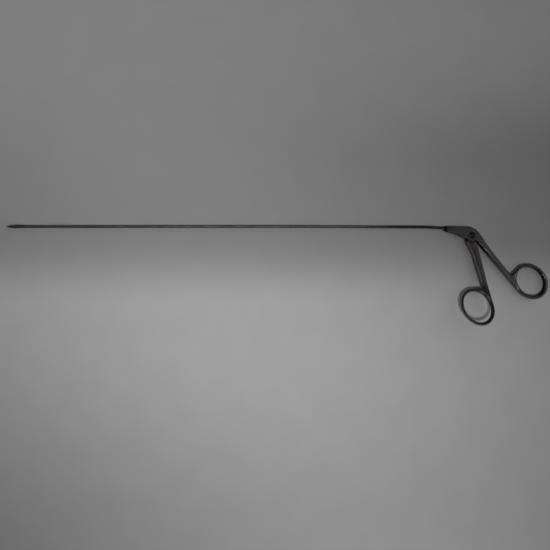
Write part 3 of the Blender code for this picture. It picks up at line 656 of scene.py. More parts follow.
def ring_bar_tree():
    """A soft square bar swept round an ellipse in the XY plane."""
    number = "NodeSocketFloat"
    tree, given = new_tree("ring_bar", [("Half length", number), ("Half breadth", number), ("Bar width", number),
                                        ("Bar thickness", number), ("Squareness", number),
                                        ("Turns", "NodeSocketInt"), ("Sides", "NodeSocketInt"),
                                        ("Material", "NodeSocketMaterial")])
    here = add(tree, "GeometryNodeInputPosition").outputs[0]
    path = add(tree, "GeometryNodeCurvePrimitiveCircle", {"Resolution": given["Turns"], "Radius": 1.0})
    axes = add(tree, "ShaderNodeCombineXYZ", {"X": given["Half length"], "Y": given["Half breadth"], "Z": 1.0})
    spread = add(tree, "ShaderNodeVectorMath", {0: here, 1: axes.outputs[0]}, operation="MULTIPLY")
    ellipse = add(tree, "GeometryNodeSetPosition", {"Geometry": path.outputs[0], "Position": spread.outputs[0]})
    upright = add(tree, "GeometryNodeSetCurveNormal", {"Curve": ellipse.outputs[0]}, mode="Z_UP")
    section = add(tree, "GeometryNodeCurvePrimitiveCircle", {"Resolution": given["Sides"], "Radius": 1.0})
    parts = add(tree, "ShaderNodeSeparateXYZ", {0: here})
    exponent = maths(tree, "DIVIDE", 2.0, given["Squareness"])
    width = maths(tree, "MULTIPLY", given["Bar width"], 0.5)
    thick = maths(tree, "MULTIPLY", given["Bar thickness"], 0.5)
    x = soft_square(tree, parts.outputs["X"], exponent, width)
    y = soft_square(tree, parts.outputs["Y"], exponent, thick)
    place = add(tree, "ShaderNodeCombineXYZ", {"X": x, "Y": y})
    square = add(tree, "GeometryNodeSetPosition", {"Geometry": section.outputs[0], "Position": place.outputs[0]})
    bar = add(tree, "GeometryNodeCurveToMesh", {"Curve": upright.outputs[0], "Profile Curve": square.outputs[0]})
    close_tree(tree, bar.outputs[0], given["Material"])
    return tree


def swept_round_tree():
    """A round bar or skin along the edges of a line."""
    tree, given = new_tree("swept_round", [("Radius", "NodeSocketFloat"), ("Sides", "NodeSocketInt"),
                                           ("Capped", "NodeSocketBool"), ("Material", "NodeSocketMaterial")])
    line = add(tree, "GeometryNodeMeshToCurve", {"Mesh": given["Geometry"]})
    circle = add(tree, "GeometryNodeCurvePrimitiveCircle", {"Resolution": given["Sides"],
                                                           "Radius": given["Radius"]})
    bar = add(tree, "GeometryNodeCurveToMesh", {"Curve": line.outputs[0], "Profile Curve": circle.outputs[0],
                                                "Fill Caps": given["Capped"]})
    close_tree(tree, bar.outputs[0], given["Material"])
    return tree


TREES = {}


def tree_object(name, mesh, maker, values):
    """A working object with one of the trees on it, its inputs set before it is first evaluated."""
    if maker not in TREES:
        TREES[maker] = maker()
    obj = bpy.data.objects.new(name, mesh)
    modifier = obj.modifiers.new("tree", "NODES")
    modifier.node_group = TREES[maker]
    set_inputs(modifier, values)
    bpy.context.scene.collection.objects.link(obj)
    return obj


def ring_mesh(name, oval, bar_width, bar_thickness, material):
    """A finger ring's bar, at its place in the handle."""
    obj = tree_object(name, bpy.data.meshes.new(name), ring_bar_tree, {
        "Half length": oval.size[0], "Half breadth": oval.size[1], "Bar width": bar_width,
        "Bar thickness": bar_thickness, "Squareness": RING_SQUARENESS, "Turns": RING_TURNS, "Sides": BAR_SIDES,
        "Material": material})
    mesh = baked(obj)
    mesh.name = name
    mesh.transform(Matrix.Translation((*oval.centre, 0.0)) @ Matrix.Rotation(oval.tilt, 4, "Z"))
    return mesh


def line_mesh(name, points):
    """A chain of edges through points in plan or in space."""
    mesh = bpy.data.meshes.new(name)
    mesh.from_pydata([tuple(p) if len(p) == 3 else (*p, 0.0) for p in points],
                     [(i, i + 1) for i in range(len(points) - 1)], [])
    return mesh


def round_bar(name, points, radius, sides, capped, material):
    """A working object that sweeps a round section along a line."""
    return tree_object(name, line_mesh(name, points), swept_round_tree, {
        "Radius": radius, "Sides": sides, "Capped": capped, "Material": material})


# Steel

MATERIALS = {}
EDGE_TINT = (0.50, 0.48, 0.46, 1.0)
NOISE_LOW = 0.30
NOISE_HIGH = 0.70
BUMP_HEIGHT = 0.00002


def ramp(tree, factor, low, high, start=NOISE_LOW, end=NOISE_HIGH):
    """Maps a factor between two values smoothly, by default over the span that a noise texture fills."""
    return add(tree, "ShaderNodeMapRange", {"Value": factor, "From Min": start, "From Max": end,
                                            "To Min": low, "To Max": high},
               interpolation_type="SMOOTHSTEP").outputs[0]


def components(tree, vector):
    """The X, Y and Z of a vector."""
    return tuple(add(tree, "ShaderNodeSeparateXYZ", {0: vector}).outputs)


def magnitude(tree, vector):
    """The length of a vector."""
    return add(tree, "ShaderNodeVectorMath", {0: vector}, operation="LENGTH").outputs["Value"]


def noise(tree, place, scale, detail, roughness=0.5):
    """The factor of a noise texture."""
    return add(tree, "ShaderNodeTexNoise", {"Vector": place, "Scale": scale, "Detail": detail,
                                            "Roughness": roughness}).outputs["Fac"]


def new_material(name):
    """A material, its tree, its shader and its object coordinates."""
    material = bpy.data.materials.new(name)
    material.use_nodes = True
    tree = material.node_tree
    return material, tree, tree.nodes["Principled BSDF"], add(tree, "ShaderNodeTexCoord").outputs["Object"]


def colour_by(tree, shader, colour, shade):
    """Gives the shader a colour that a shade brightens or darkens."""
    tint = add(tree, "ShaderNodeVectorMath", {0: tuple(colour), "Scale": shade}, operation="SCALE")
    tree.links.new(tint.outputs[0], shader.inputs["Base Color"])


def pivot_distance(tree, place):
    """How far a place is from the pivot, in plan."""
    return magnitude(tree, add(tree, "ShaderNodeVectorMath", {0: place, 1: (1.0, 1.0, 0.0)},
                               operation="MULTIPLY").outputs[0])


def pivot_gap_shade(tree, place):
    """Painted shade in the gap round the screw's head, by the distance from the pivot."""
    return ramp(tree, pivot_distance(tree, place), 0.10, 1.0, 0.00278, 0.00325)


def screw_slot_shade(tree, place):
    """Painted shade on the screw: black in the slot and at the rim, weaker on the head's open halves."""
    turn = -bpy.context.scene.screw_settings.slot_turn
    turned = add(tree, "ShaderNodeVectorRotate", {"Vector": place, "Angle": turn}, rotation_type="Z_AXIS")
    off = maths(tree, "ABSOLUTE", components(tree, turned.outputs[0])[1])
    slot = ramp(tree, off, 0.10, 1.0, 0.00034, 0.00062)
    rim = ramp(tree, pivot_distance(tree, place), 1.0, 0.20, 0.00185, 0.00245)
    return maths(tree, "MULTIPLY", slot, rim)


def tube_darkening(tree, place):
    """The tube is darker towards the handle."""
    return ramp(tree, components(tree, place)[0], 1.0, 0.35, -0.100, -0.060)


def steel(name, colour, roughness, grain, grain_turn, worn=True, darkening=None, relief=1.0):
    """Ground steel: a fine drawn grain, soft clouding, faint handling marks and brighter worn edges.

    The wear attribute brightens the edges, the dull_and_shade attribute darkens upright sides and paints shade in its
    places, and a darkening function, if given, scales the colour."""
    if name in MATERIALS:
        return MATERIALS[name]
    material, tree, shader, place = new_material(name)
    shader.inputs["Metallic"].default_value = 1.0
    shader.inputs["Specular Tint"].default_value = EDGE_TINT
    centred = add(tree, "ShaderNodeMapping", {"Vector": place, "Location": tuple(-PIVOT)}).outputs[0]
    turned = add(tree, "ShaderNodeMapping", {"Vector": centred, "Rotation": (0.0, 0.0, grain_turn),
                                             "Scale": (0.12, 1.0, 1.0)}).outputs[0]
    clouds = noise(tree, centred, 260.0, 4.0, 0.55)
    streaks = noise(tree, turned, grain, 3.0, 0.6)
    specks = noise(tree, centred, grain * 0.8, 2.0)
    shade = maths(tree, "MULTIPLY", ramp(tree, clouds, 0.90, 1.06), ramp(tree, streaks, 0.95, 1.04))
    rough = maths(tree, "ADD", ramp(tree, clouds, roughness + 0.05, roughness - 0.04),
                  ramp(tree, streaks, -0.02, 0.03))
    if worn:
        wear = add(tree, "ShaderNodeAttribute", attribute_name="wear").outputs["Fac"]
        broken = maths(tree, "MULTIPLY", wear, ramp(tree, specks, 0.55, 1.0, 0.35, 0.65))
        shade = maths(tree, "MULTIPLY_ADD", broken, 0.10, shade)
        rough = maths(tree, "MULTIPLY_ADD", broken, -0.03, rough)
        dull_and_shade = add(tree, "ShaderNodeAttribute", attribute_name="dull_and_shade").outputs["Fac"]
        loss = maths(tree, "MULTIPLY", dull_and_shade, ramp(tree, clouds, -0.86, -0.94, 0.35, 0.65))
        shade = maths(tree, "MULTIPLY", shade, maths(tree, "ADD", loss, 1.0))
        rough = maths(tree, "MULTIPLY_ADD", dull_and_shade, 0.12, rough)
    if darkening:
        shade = maths(tree, "MULTIPLY", shade, darkening(tree, centred))
    colour_by(tree, shader, colour, shade)
    tree.links.new(rough, shader.inputs["Roughness"])
    fine = add(tree, "ShaderNodeBump", {"Height": streaks, "Strength": 0.05 * relief, "Distance": BUMP_HEIGHT})
    pitted = add(tree, "ShaderNodeBump", {"Height": specks, "Strength": 0.025 * relief, "Distance": BUMP_HEIGHT,
                                          "Normal": fine.outputs[0]})
    tree.links.new(pitted.outputs[0], shader.inputs["Normal"])
    MATERIALS[name] = material
    return material


def satin():
    """The handle's steel, ground and then polished, with painted shade in the gap round the screw's head."""
    return steel("satin_steel_ground", bpy.context.scene.steel_settings.satin, 0.18, 5200.0, math.radians(52.0),
                 darkening=pivot_gap_shade)


def drawn():
    """The steel of the tube and the rod, as drawn."""
    return steel("drawn_steel_tube", bpy.context.scene.steel_settings.drawn, 0.36, 6000.0, 0.0, worn=False,
                 darkening=tube_darkening, relief=0.15)


def hard():
    """The steel of the blades and the pins."""
    return steel("hard_steel_honed", bpy.context.scene.steel_settings.hard, 0.42, 8000.0, 0.3, relief=0.5)


def screw_steel():
    """The screw's steel, with painted shade in its slot and at its rim."""
    return steel("screw_steel_darkened", bpy.context.scene.steel_settings.screw, 0.28, 8000.0, 0.3, darkening=screw_slot_shade,
                 relief=0.5)


def lint():
    """Matt greyish cotton fibre."""
    material, tree, shader, place = new_material("lint_fibre")
    shader.inputs["Roughness"].default_value = 0.9
    colour_by(tree, shader, (0.16, 0.16, 0.15), ramp(tree, noise(tree, place, 4000.0, 2.0), 0.75, 1.15))
    return material


# Handle frame

def shaft_height(x):
    """Height of the shaft's straight axis in the bore, at a place along the handle."""
    return SHAFT_AXIS_AT_NOSE - (x + NOSE_REACH) * math.tan(math.radians(BORE_SLOPE))


def shaft_corners():
    """Where the shaft's axis leaves the nose, and the corners of its bend and its bow."""
    nose = (-NOSE_REACH, SHAFT_AXIS_AT_NOSE)
    bend = (nose[0] - BEND_TO_NOSE, nose[1] + BEND_TO_NOSE * math.tan(math.radians(BORE_SLOPE)))
    bow = (bend[0] - BOW_TO_BEND, bend[1] + BOW_TO_BEND * math.tan(math.radians(BOW_SLOPE)))
    return nose, bend, bow


TIP_X = -NOSE_REACH - WORKING_LENGTH
TIP_Y = shaft_corners()[2][1]
HINGE_X = TIP_X + BLADE_REACH
TUBE_END = -NOSE_REACH + TUBE_INSERT
SLOT_END = LINK[0] - ROD_EYE_LENGTH - EYE_ROOM


def frame_outline(oval):
    """The frame in plan: lobe, belly, nose, back, notch, and the side of the shank that runs onto the ring."""
    apex = polar(LOBE_RADIUS, LOBE_FRONT_ANGLE)
    low = oval.tangent(polar(LOBE_RADIUS, LOBE_REAR_ANGLE), 1, oval.under)
    high = oval.tangent(REAR_NOTCH, -1, oval.under)
    belly = [(-NOSE_REACH * share, y, radius) for share, y, radius in BELLY]
    edge = rounded([(*apex, 0.0), *belly, (-NOSE_REACH, NOSE_BOTTOM, NOSE_CORNERS[0]),
                    (-NOSE_REACH, NOSE_TOP, NOSE_CORNERS[1]), (*SHOULDER, SHOULDER_RADIUS),
                    (*SHANK_BACK, SHANK_BACK_RADIUS), (*REAR_NOTCH, 0.0)], closed=False)
    points = arc((0.0, 0.0), LOBE_RADIUS, LOBE_REAR_ANGLE, LOBE_FRONT_ANGLE)[:-1] + edge
    points.append(oval.point(high, oval.under))
    points += oval.sweep(high, low)
    points.append(oval.point(low, oval.under))
    return points


def slot_mesh():
    """The milled slot for the lever's tongue and the rod's end, open below."""
    deep = -LOBE_RADIUS * 2
    top = LINK[1] + LINK_EYE_RADIUS + 2 * LEVER_GAP
    tight, middle, wide = SLOT_CORNERS
    outline = rounded([(-SLOT_FRONT, deep, 0.0), (-SLOT_FRONT, SLOT_STEP, middle), (SLOT_END, SLOT_NOSE_FLOOR, tight),
                       (SLOT_END, top, tight), (SLOT_HEEL[0], top, wide), (*SLOT_HEEL, middle),
                       (SLOT_REAR, SLOT_STEP, wide), (SLOT_REAR, deep, 0.0)])
    return plate("slot", outline, -SLOT_HALF, SLOT_HALF)


def lying_bar(name, start, end, radius, sides=48):
    """A round cutter that lies in the XY plane."""
    mesh = baked(round_bar(name, [start, end], radius, sides, True, None))
    mesh.name = name
    return mesh


class SCISSORS_OT_handle_frame(bpy.types.Operator):
    """Make the ground handle frame with its rear finger ring"""
    bl_idname = "scissors.handle_frame"
    bl_label = "Handle frame"

    def execute(self, context):
        s = context.scene.handle_settings
        material = satin()
        oval = Oval(REAR_RING_CENTRE, s.ring_half_length, s.ring_half_breadth, REAR_RING_TILT, s.bar_width)
        run = np.array(REAR_NOTCH) - np.array(SHOULDER)
        run = run / np.linalg.norm(run)

        def down_shank(x, y):
            return x * run[0] + y * run[1]

        def half(x, y):
            nose = np.clip((-x - NOSE_REACH + NOSE_TAPER) / NOSE_TAPER, 0.0, 1.0) ** 2
            shank = np.clip((down_shank(x, y) - SHANK_TAPER[0]) / SHANK_TAPER[1], 0.0, 1.0)
            nose_share = 1 - (1 - s.nose_thickness / s.thickness) * nose
            shank_share = 1 - (1 - s.shank_thickness / s.thickness) * shank
            return s.thickness / 2 * nose_share * shank_share

        def rounding(x, y):
            share = eased_share((down_shank(x, y) - SHANK_ROUNDING_RUN[0]) / SHANK_ROUNDING_RUN[1])
            mouth = np.clip((-x - NOSE_REACH + MOUTH_LENGTH) / MOUTH_LENGTH, 0.0, 1.0)
            return s.body_rounding + (s.shank_rounding - s.body_rounding) * share + s.nose_rounding * mouth

        obj = stray("frame_work", pillow("frame_work", frame_outline(oval), half, rounding, s.body_rounding,
                                         s.crown))
        combine(obj, ring_mesh("rear_ring", oval, s.bar_width, s.bar_thickness, material), "UNION")
        combine(obj, slot_mesh(), "DIFFERENCE")
        screw = context.scene.screw_settings
        shaft = context.scene.shaft_settings
        outside = s.thickness
        past = -NOSE_REACH - outside
        slot_end = SLOT_END + shaft.wall
        combine(obj, lying_bar("tube_bore", (past, shaft_height(past)), (TUBE_END, shaft_height(TUBE_END)),
                               shaft.radius + SEAT_GAP), "DIFFERENCE")
        rod_start = TUBE_END - shaft.radius
        combine(obj, lying_bar("rod_bore", (rod_start, shaft_height(rod_start)),
                               (slot_end, shaft_height(slot_end)), shaft.radius - shaft.wall), "DIFFERENCE")
        head_base = s.thickness / 2 - SCREW_SINK - screw.head_height
        for name, radius, low, high in (("head_recess", screw.head_radius + HEAD_GAP, head_base - SEAT_GAP, outside),
                                        ("near_hole", SCREW_RADIUS + RUNNING_GAP, 0.0, outside),
                                        ("thread_hole", SCREW_TIP_RADIUS + SEAT_GAP, -outside, 0.0)):
            combine(obj, post(name, (0, 0), radius, low, high), "DIFFERENCE")
        mesh = worked(obj)
        paint_wear(mesh)

        # Painted shade over the nose's end at the tube's mouth, reaching further on its lower side
        def mouth(x, y):
            return fade(x + NOSE_REACH, MOUTH_SHADE_FULL,
                        MOUTH_SHADE_BELOW if y < MOUTH_SHADE_MIDDLE else MOUTH_SHADE_ABOVE)

        # Painted black shade inside the rear ring and in the crotch between shank and lever; painted shade at the
        # tube's mouth and by the lever's shoulder
        paint_sides_and_shade(mesh, [ring_hole(oval), round_place(CROTCH_SHADE)], [mouth, round_place(SHOULDER_SHADE)])
        smoothed(mesh)
        set_down("handle_frame_ground", mesh, material, "handle", "satin_steel", "handle_frame")
        return {"FINISHED"}


# Finger lever

def lever_outline(oval):
    """The lever in plan: the hollow that follows the lobe, and two long edges that run onto the ring."""
    radius = LOBE_RADIUS + LEVER_GAP
    right = oval.tangent(LEVER_REAR_BEND, -1, oval.under)
    left = oval.tangent(FRONT_NOTCH, 1, oval.under)
    shoulder = arc((0.0, 0.0), radius, LEVER_FRONT_ANGLE, LEVER_REAR_ANGLE)
    back = rounded([(*shoulder[-1], 0.0), (*LEVER_REAR_BEND, LEVER_BEND_RADIUS),
                    (*oval.point(right, oval.under), 0.0)], closed=False)
    front = rounded([(*oval.point(left, oval.under), 0.0), (*FRONT_NOTCH, FRONT_NOTCH_CORNER),
                     (*LEVER_FRONT_BEND, LEVER_BEND_RADIUS), (*LEVER_CORNER, LEVER_SHOULDER_CORNER),
                     (*shoulder[0], 0.0)], closed=False)
    return shoulder[:-1] + back + oval.sweep(right, left) + front[:-1]


def tongue_outline():
    """The lever's tongue in plan, from inside the lever up to the eye of the link pin."""
    eye = LINK_EYE_RADIUS
    half = [(TONGUE_HALF_WIDTH, -TONGUE_ROOT, 0.0), (TONGUE_HALF_WIDTH, FORK_FLOOR - TONGUE_STEP, TONGUE_CORNERS[0])]
    neck = [(eye, FORK_FLOOR, TONGUE_CORNERS[1]), (eye, LINK[1] + eye, eye)]
    left = [(-x, y, radius) for x, y, radius in half] + [(LINK[0] - x, y, radius) for x, y, radius in neck]
    right = half + [(LINK[0] + x, y, radius) for x, y, radius in neck]
    return rounded(left + right[::-1])


def soft_ramp(distance, start, soften):
    """Zero before a start and then rising one to one, with the corner eased over a length."""
    past = distance - start
    if past <= -soften:
        return 0.0
    if past >= soften:
        return past
    return (past + soften) ** 2 / (4 * soften)


class SCISSORS_OT_finger_lever(bpy.types.Operator):
    """Make the finger lever with its raised front ring and the tongue in the slot"""
    bl_idname = "scissors.finger_lever"
    bl_label = "Finger lever"

    def execute(self, context):
        s = context.scene.lever_settings
        material = satin()
        oval = Oval(FRONT_RING_CENTRE, s.ring_half_length, s.ring_half_breadth, FRONT_RING_TILT, s.bar_width)

        def half(x, y):
            return np.full_like(x, s.thickness / 2)

        def rounding(x, y):
            share = eased_share((-y - LEVER_ROUNDING_RUN[0]) / LEVER_ROUNDING_RUN[1])
            return LEVER_SHOULDER_ROUNDING + (s.rounding - LEVER_SHOULDER_ROUNDING) * share

        obj = stray("lever_work", pillow("lever_work", lever_outline(oval), half, rounding, LEVER_UNDER_ROUNDING,
                                         s.crown))
        combine(obj, ring_mesh("front_ring", oval, s.bar_width, s.bar_thickness, material), "UNION")
        mesh = worked(obj)
        for vertex in mesh.vertices:
            below = -vertex.co.y
            vertex.co.z += s.rise * soft_ramp(below, s.rise_start, LEVER_RISE_EASE)
            vertex.co.z += s.ring_rise * soft_ramp(below, s.ring_rise_start, RING_RISE_EASE)
        obj = stray("lever_work", mesh)
        combine(obj, plate("tongue", tongue_outline(), -TONGUE_HALF, TONGUE_HALF), "UNION")
        combine(obj, post("pivot_bore", (0, 0), SCREW_RADIUS + RUNNING_GAP, -s.thickness, s.thickness),
                "DIFFERENCE")
        fork = plate("fork", box_outline(-SLOT_FRONT, SLOT_FRONT, FORK_FLOOR, 2 * LINK_ARM), -FORK_HALF, FORK_HALF)
        combine(obj, fork, "DIFFERENCE")
        combine(obj, post("link_bore", LINK, LINK_PIN_RADIUS + SEAT_GAP, -s.thickness, s.thickness, 32),
                "DIFFERENCE")
        mesh = worked(obj)
        paint_wear(mesh)
        # Painted black shade inside the front ring, and painted shade by the lever's shoulder
        paint_sides_and_shade(mesh, [ring_hole(oval)], [round_place(SHOULDER_SHADE)])
        smoothed(mesh)
        set_down("finger_lever_ground", mesh, material, "lever", "satin_steel", "finger_lever")
        return {"FINISHED"}


# Pivot screw

class SCISSORS_OT_pivot_screw(bpy.types.Operator):
    """Make the slotted pivot screw"""
    bl_idname = "scissors.pivot_screw"
    bl_label = "Pivot screw"

    def execute(self, context):
        s = context.scene.screw_settings
        handle = context.scene.handle_settings
        top = handle.thickness / 2 - SCREW_SINK
        base = top - s.head_height
        end = -handle.thickness / 2 + SCREW_SINK
        head = s.head_radius
        dome = [(head * share, top - s.dome * share ** 2) for share in (0.0, 0.2, 0.4, 0.6, 0.75, 0.86)]
        rim = [polar(HEAD_EDGE, turn) for turn in (60, 45, 30, 15, 0)]
        profile = dome + [(head - HEAD_EDGE + r, dome[-1][1] - HEAD_EDGE + z) for r, z in rim]
        profile += [(head, base), (SCREW_RADIUS, base), (SCREW_RADIUS, -TONGUE_HALF),
                    (SCREW_TIP_RADIUS, -TONGUE_HALF), (SCREW_TIP_RADIUS, end + SCREW_CHAMFER),
                    (SCREW_TIP_RADIUS - SCREW_CHAMFER, end), (0.0, end)]
        obj = stray("screw_work", line_mesh("screw_profile", [(r, 0.0, z) for r, z in profile]))
        turned = obj.modifiers.new("turned", "SCREW")
        turned.axis = "Z"
        turned.steps = turned.render_steps = 72
        turned.use_merge_vertices = True
        turned.merge_threshold = 1e-6
        c, n = math.cos(s.slot_turn), math.sin(s.slot_turn)
        reach, half = head * 2, s.slot_width / 2
        outline = [(x * c - y * n, x * n + y * c) for x, y in box_outline(-reach, reach, -half, half)]
        combine(obj, plate("driver_slot", outline, top - s.slot_depth, top + s.slot_depth), "DIFFERENCE")
        soft = obj.modifiers.new("slot_edges", "BEVEL")
        soft.width = 0.00005
        soft.segments = 2
        soft.limit_method = "ANGLE"
        soft.angle_limit = math.radians(50)
        mesh = worked(obj)
        paint_wear(mesh, SCREW_FULL_BEND)
        smoothed(mesh)
        set_down("pivot_screw_slotted", mesh, screw_steel(), "handle", "hardened_steel", "pivot_screw")
        return {"FINISHED"}


# Shaft

def shaft_line(front, rear, step=0.004):
    """Points along the shaft's axis, close enough for the bends to be smooth."""
    _, bend, bow = shaft_corners()
    corners = rounded([(front, bow[1], 0.0), (*bow, BOW_RADIUS), (*bend, BEND_RADIUS),
                       (rear, shaft_height(rear), 0.0)], closed=False)
    return resampled(corners, step) + corners[-1:]


def eased(points, rounds):
    """Rounds a line's corners off by cutting them again and again."""
    for _ in range(rounds):
        cut = [points[0]]
        for a, b in zip(points, points[1:]):
            cut += [tuple(0.75 * p + 0.25 * q for p, q in zip(a, b)),
                    tuple(0.25 * p + 0.75 * q for p, q in zip(a, b))]
        points = cut + [points[-1]]
    return points


# The lint fibre, over the tube and down to the table: X and Z from the pivot, Y from the tube's axis
FIBRE = ((-0.37320, 0.00370, -0.0010), (-0.37255, 0.00300, 0.0002), (-0.37175, 0.00215, 0.0009),
         (-0.37110, 0.00120, 0.0010), (-0.37080, 0.00040, 0.0013), (-0.37100, -0.00050, 0.0012),
         (-0.37165, -0.00150, 0.0004), (-0.37290, -0.00270, -0.0010), (-0.37400, -0.00345, -0.0022),
         (-0.37500, -0.00290, -0.0026), (-0.37600, -0.00180, -0.0026), (-0.37680, -0.00130, -0.0026))


class SCISSORS_OT_shaft(bpy.types.Operator):
    """Make the long bent tube and the lint fibre that hangs on it"""
    bl_idname = "scissors.shaft"
    bl_label = "Shaft"

    def execute(self, context):
        s = context.scene.shaft_settings
        material = drawn()
        front = HINGE_X + HOLDER_LENGTH + SEAT_GAP
        obj = round_bar("tube_skin", shaft_line(front, TUBE_END - SEAT_GAP), s.radius, BAR_SIDES, False, material)
        wall = obj.modifiers.new("wall", "SOLIDIFY")
        wall.thickness = s.wall
        wall.offset = -1.0
        wall.use_even_offset = True
        mesh = baked(obj)
        smoothed(mesh)
        set_down("shaft_tube_drawn", mesh, material, "handle", "drawn_steel", "shaft_tube")
        fibre = [(x, TIP_Y + y, z) for x, y, z in FIBRE]
        cotton = lint()
        fluff = baked(round_bar("fibre_line", eased(fibre, 4), s.fibre_radius, 8, True, cotton))
        smoothed(fluff)
        set_down("lint_fibre", fluff, cotton, "handle", None)
        return {"FINISHED"}


# Pieces that stay as packed, with a better finish

class SCISSORS_OT_small_steel(bpy.types.Operator):
    """Finish the rod, the pins and the small steel of the tip"""
    bl_idname = "scissors.small_steel"
    bl_label = "Rod and pins"

    def execute(self, context):
        finishes = {"drive_rod": drawn()}
        for name in ("lever_link_pin", "blade_pivot_pin", "blade_drive_pin", "blade_holder", "moving_blade"):
            finishes[name] = hard()
        for name, finish in finishes.items():
            node = frame["nodes"][name]
            node.data.materials.clear()
            node.data.materials.append(finish)
        return {"FINISHED"}


# Stage

def table_material(colour):
    """A matt table with painted light: brightest in a soft patch below the tube, painted darker at the back and at
    the far sides.
    """
    material, tree, shader, place = new_material("matt_table")
    shader.inputs["Roughness"].default_value = 0.9
    shader.inputs["Specular IOR Level"].default_value = 0.1
    x, y, _ = components(tree, place)
    # Painted light and shade: the colour rises to a bright patch below the tube and falls off to the back and the
    # sides
    rise = ramp(tree, y, 0.345, 0.207, -0.030, 0.034)
    fall = ramp(tree, y, -0.080, 0.0, -0.260, -0.060)
    away = maths(tree, "ADD", maths(tree, "MULTIPLY_ADD", y, 0.45, x), 0.059)
    share = maths(tree, "DIVIDE", away, ramp(tree, y, 0.345, 0.680, 0.100, 0.240))
    painted_light_patch = maths(tree, "DIVIDE", maths(tree, "ADD", rise, fall), maths(tree, "MULTIPLY_ADD", share, share, 1.0))
    weave = ramp(tree, noise(tree, place, 35.0, 3.0), 0.985, 1.015)
    colour_by(tree, shader, colour, maths(tree, "MULTIPLY", maths(tree, "MAXIMUM", painted_light_patch, 0.085), weave))
    return material


KEY_FROM = Vector((-0.10, -0.23, 1.0))
KEY_STRENGTH = 1.85
SOFT_FROM = Vector((0.85, 0.30, 0.43)).normalized()
BACKDROP_LEVEL = 0.30
TABLE_DEPTH = 2e-5
CAMERA_PLACE = (-0.0017, -0.0003)


def oval_spot(tree, way, centre, half):
    """How far a direction is from an oval in the mirror image, in half sizes. Places are a direction's X and Y."""
    scale = (1.0 / half[0], 1.0 / half[1], 0.0)
    return magnitude(tree, add(tree, "ShaderNodeMapping", {
        "Vector": way, "Scale": scale, "Location": (-centre[0] * scale[0], -centre[1] * scale[1], 0.0)}).outputs[0])


def bright_spot(tree, way, centre, half, strength):
    """A soft oval lamp in the mirror image."""
    return ramp(tree, oval_spot(tree, way, centre, half), strength, 0.0, 0.70, 1.20)


def room_light(world):
    """A soft grey room: even light for the table, and a mirror image with a lamp and dark walls for the steel."""
    world.use_nodes = True
    tree = world.node_tree
    tree.nodes.clear()
    way = add(tree, "ShaderNodeTexCoord").outputs["Generated"]
    x, y, z = components(tree, way)
    key = bright_spot(tree, way, (-0.048, -0.268), (0.062, 0.075), 4.4)
    second = bright_spot(tree, way, (-0.098, 0.060), (0.045, 0.110), 2.7)
    lamps = maths(tree, "MULTIPLY", maths(tree, "ADD", key, second), maths(tree, "GREATER_THAN", z, 0.0))
    middle = ramp(tree, x, 0.004, 0.026, -0.90, -0.35)
    right = ramp(tree, x, 0.0, 0.045, -0.05, 0.55)
    window = ramp(tree, x, 0.0, 0.150, 0.50, 0.90)
    back = ramp(tree, y, 1.0, 0.10, 0.12, 0.42)
    front = ramp(tree, y, 0.5, 1.0, -0.60, -0.30)
    onlooker = ramp(tree, oval_spot(tree, way, (0.10, 0.24), (0.14085, 0.16)), 0.06, 1.0, 0.70, 1.15)
    walls = maths(tree, "ADD", maths(tree, "ADD", middle, right), window)
    walls = maths(tree, "MULTIPLY", maths(tree, "MULTIPLY", walls, back), onlooker)
    mirror = maths(tree, "MULTIPLY_ADD", walls, front, lamps)
    towards = add(tree, "ShaderNodeVectorMath", {0: way, 1: tuple(SOFT_FROM)}, operation="DOT_PRODUCT")
    light = ramp(tree, towards.outputs["Value"], 0.05, 1.60, 0.30, 1.0)
    rays = add(tree, "ShaderNodeLightPath").outputs
    for ray, seen in (("Is Glossy Ray", mirror), ("Is Camera Ray", BACKDROP_LEVEL)):
        light = add(tree, "ShaderNodeMix", {"Factor": rays[ray], "A": light, "B": seen},
                    data_type="FLOAT").outputs[0]
    background = add(tree, "ShaderNodeBackground", {"Strength": light, "Color": (1.0, 1.0, 1.0, 1.0)})
    tree.links.new(background.outputs[0], tree.nodes.new("ShaderNodeOutputWorld").inputs[0])


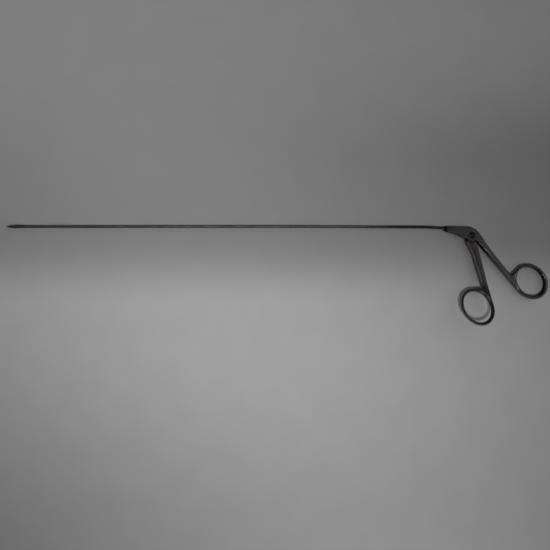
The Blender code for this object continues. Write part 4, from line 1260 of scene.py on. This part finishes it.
class SCISSORS_OT_stage(bpy.types.Operator):
    """Make the table, the lamp, the room and the camera over the table"""
    bl_idname = "scissors.stage"
    bl_label = "Stage"

    def execute(self, context):
        s = context.scene.stage_settings
        half = s.table_size / 2
        corners = [(x, y, -TABLE_DEPTH) for x, y in box_outline(-half, half, -half, half)]
        table = stray("table", poly_mesh("table", corners, [(0, 1, 2, 3)]))
        table.data.materials.append(table_material(s.table))
        key = bpy.data.lights.new("key_lamp", "SUN")
        key.energy = KEY_STRENGTH
        key.angle = s.key_angle
        lamp = stray("key_lamp", key)
        lamp.rotation_euler = KEY_FROM.normalized().to_track_quat("Z", "Y").to_euler()
        lamp.visible_glossy = False
        world = bpy.data.worlds.new("room")
        context.scene.world = world
        room_light(world)
        camera = bpy.data.cameras.new("camera")
        camera.angle = s.camera_angle
        camera.clip_start = 0.01
        eye = stray("camera", camera)
        eye.location = (*CAMERA_PLACE, s.camera_height)
        context.scene.camera = eye
        context.scene.view_settings.view_transform = "Standard"
        return {"FINISHED"}


class SCISSORS_PT_panel(bpy.types.Panel):
    """Lists the pieces of the scissors"""
    bl_label = "Tube scissors"
    bl_space_type = "VIEW_3D"
    bl_region_type = "UI"
    bl_category = "Scissors"

    def draw(self, context):
        for operator in OPERATORS:
            self.layout.operator(operator.bl_idname)
        for name in SETTINGS:
            settings = getattr(context.scene, name)
            box = self.layout.box()
            box.label(text=name.replace("_", " ").capitalize())
            for key in settings.bl_rna.properties.keys():
                if key not in ("rna_type", "name"):
                    box.prop(settings, key)


SETTINGS = {"steel_settings": SteelSettings, "handle_settings": HandleSettings, "lever_settings": LeverSettings,
            "screw_settings": ScrewSettings, "shaft_settings": ShaftSettings, "stage_settings": StageSettings}
OPERATORS = (SCISSORS_OT_handle_frame, SCISSORS_OT_finger_lever, SCISSORS_OT_pivot_screw, SCISSORS_OT_shaft,
             SCISSORS_OT_small_steel, SCISSORS_OT_stage)


CLASSES = (*SETTINGS.values(), *OPERATORS, SCISSORS_PT_panel)


def register():
    for kind in CLASSES:
        bpy.utils.register_class(kind)
    for name, kind in SETTINGS.items():
        setattr(bpy.types.Scene, name, bpy.props.PointerProperty(type=kind))


def unregister():
    for name in SETTINGS:
        delattr(bpy.types.Scene, name)
    for kind in reversed(CLASSES):
        bpy.utils.unregister_class(kind)


def main():
    register()
    for operator in OPERATORS:
        group, action = operator.bl_idname.split(".")
        getattr(getattr(bpy.ops, group), action)()


if __name__ == "__main__":
    main()
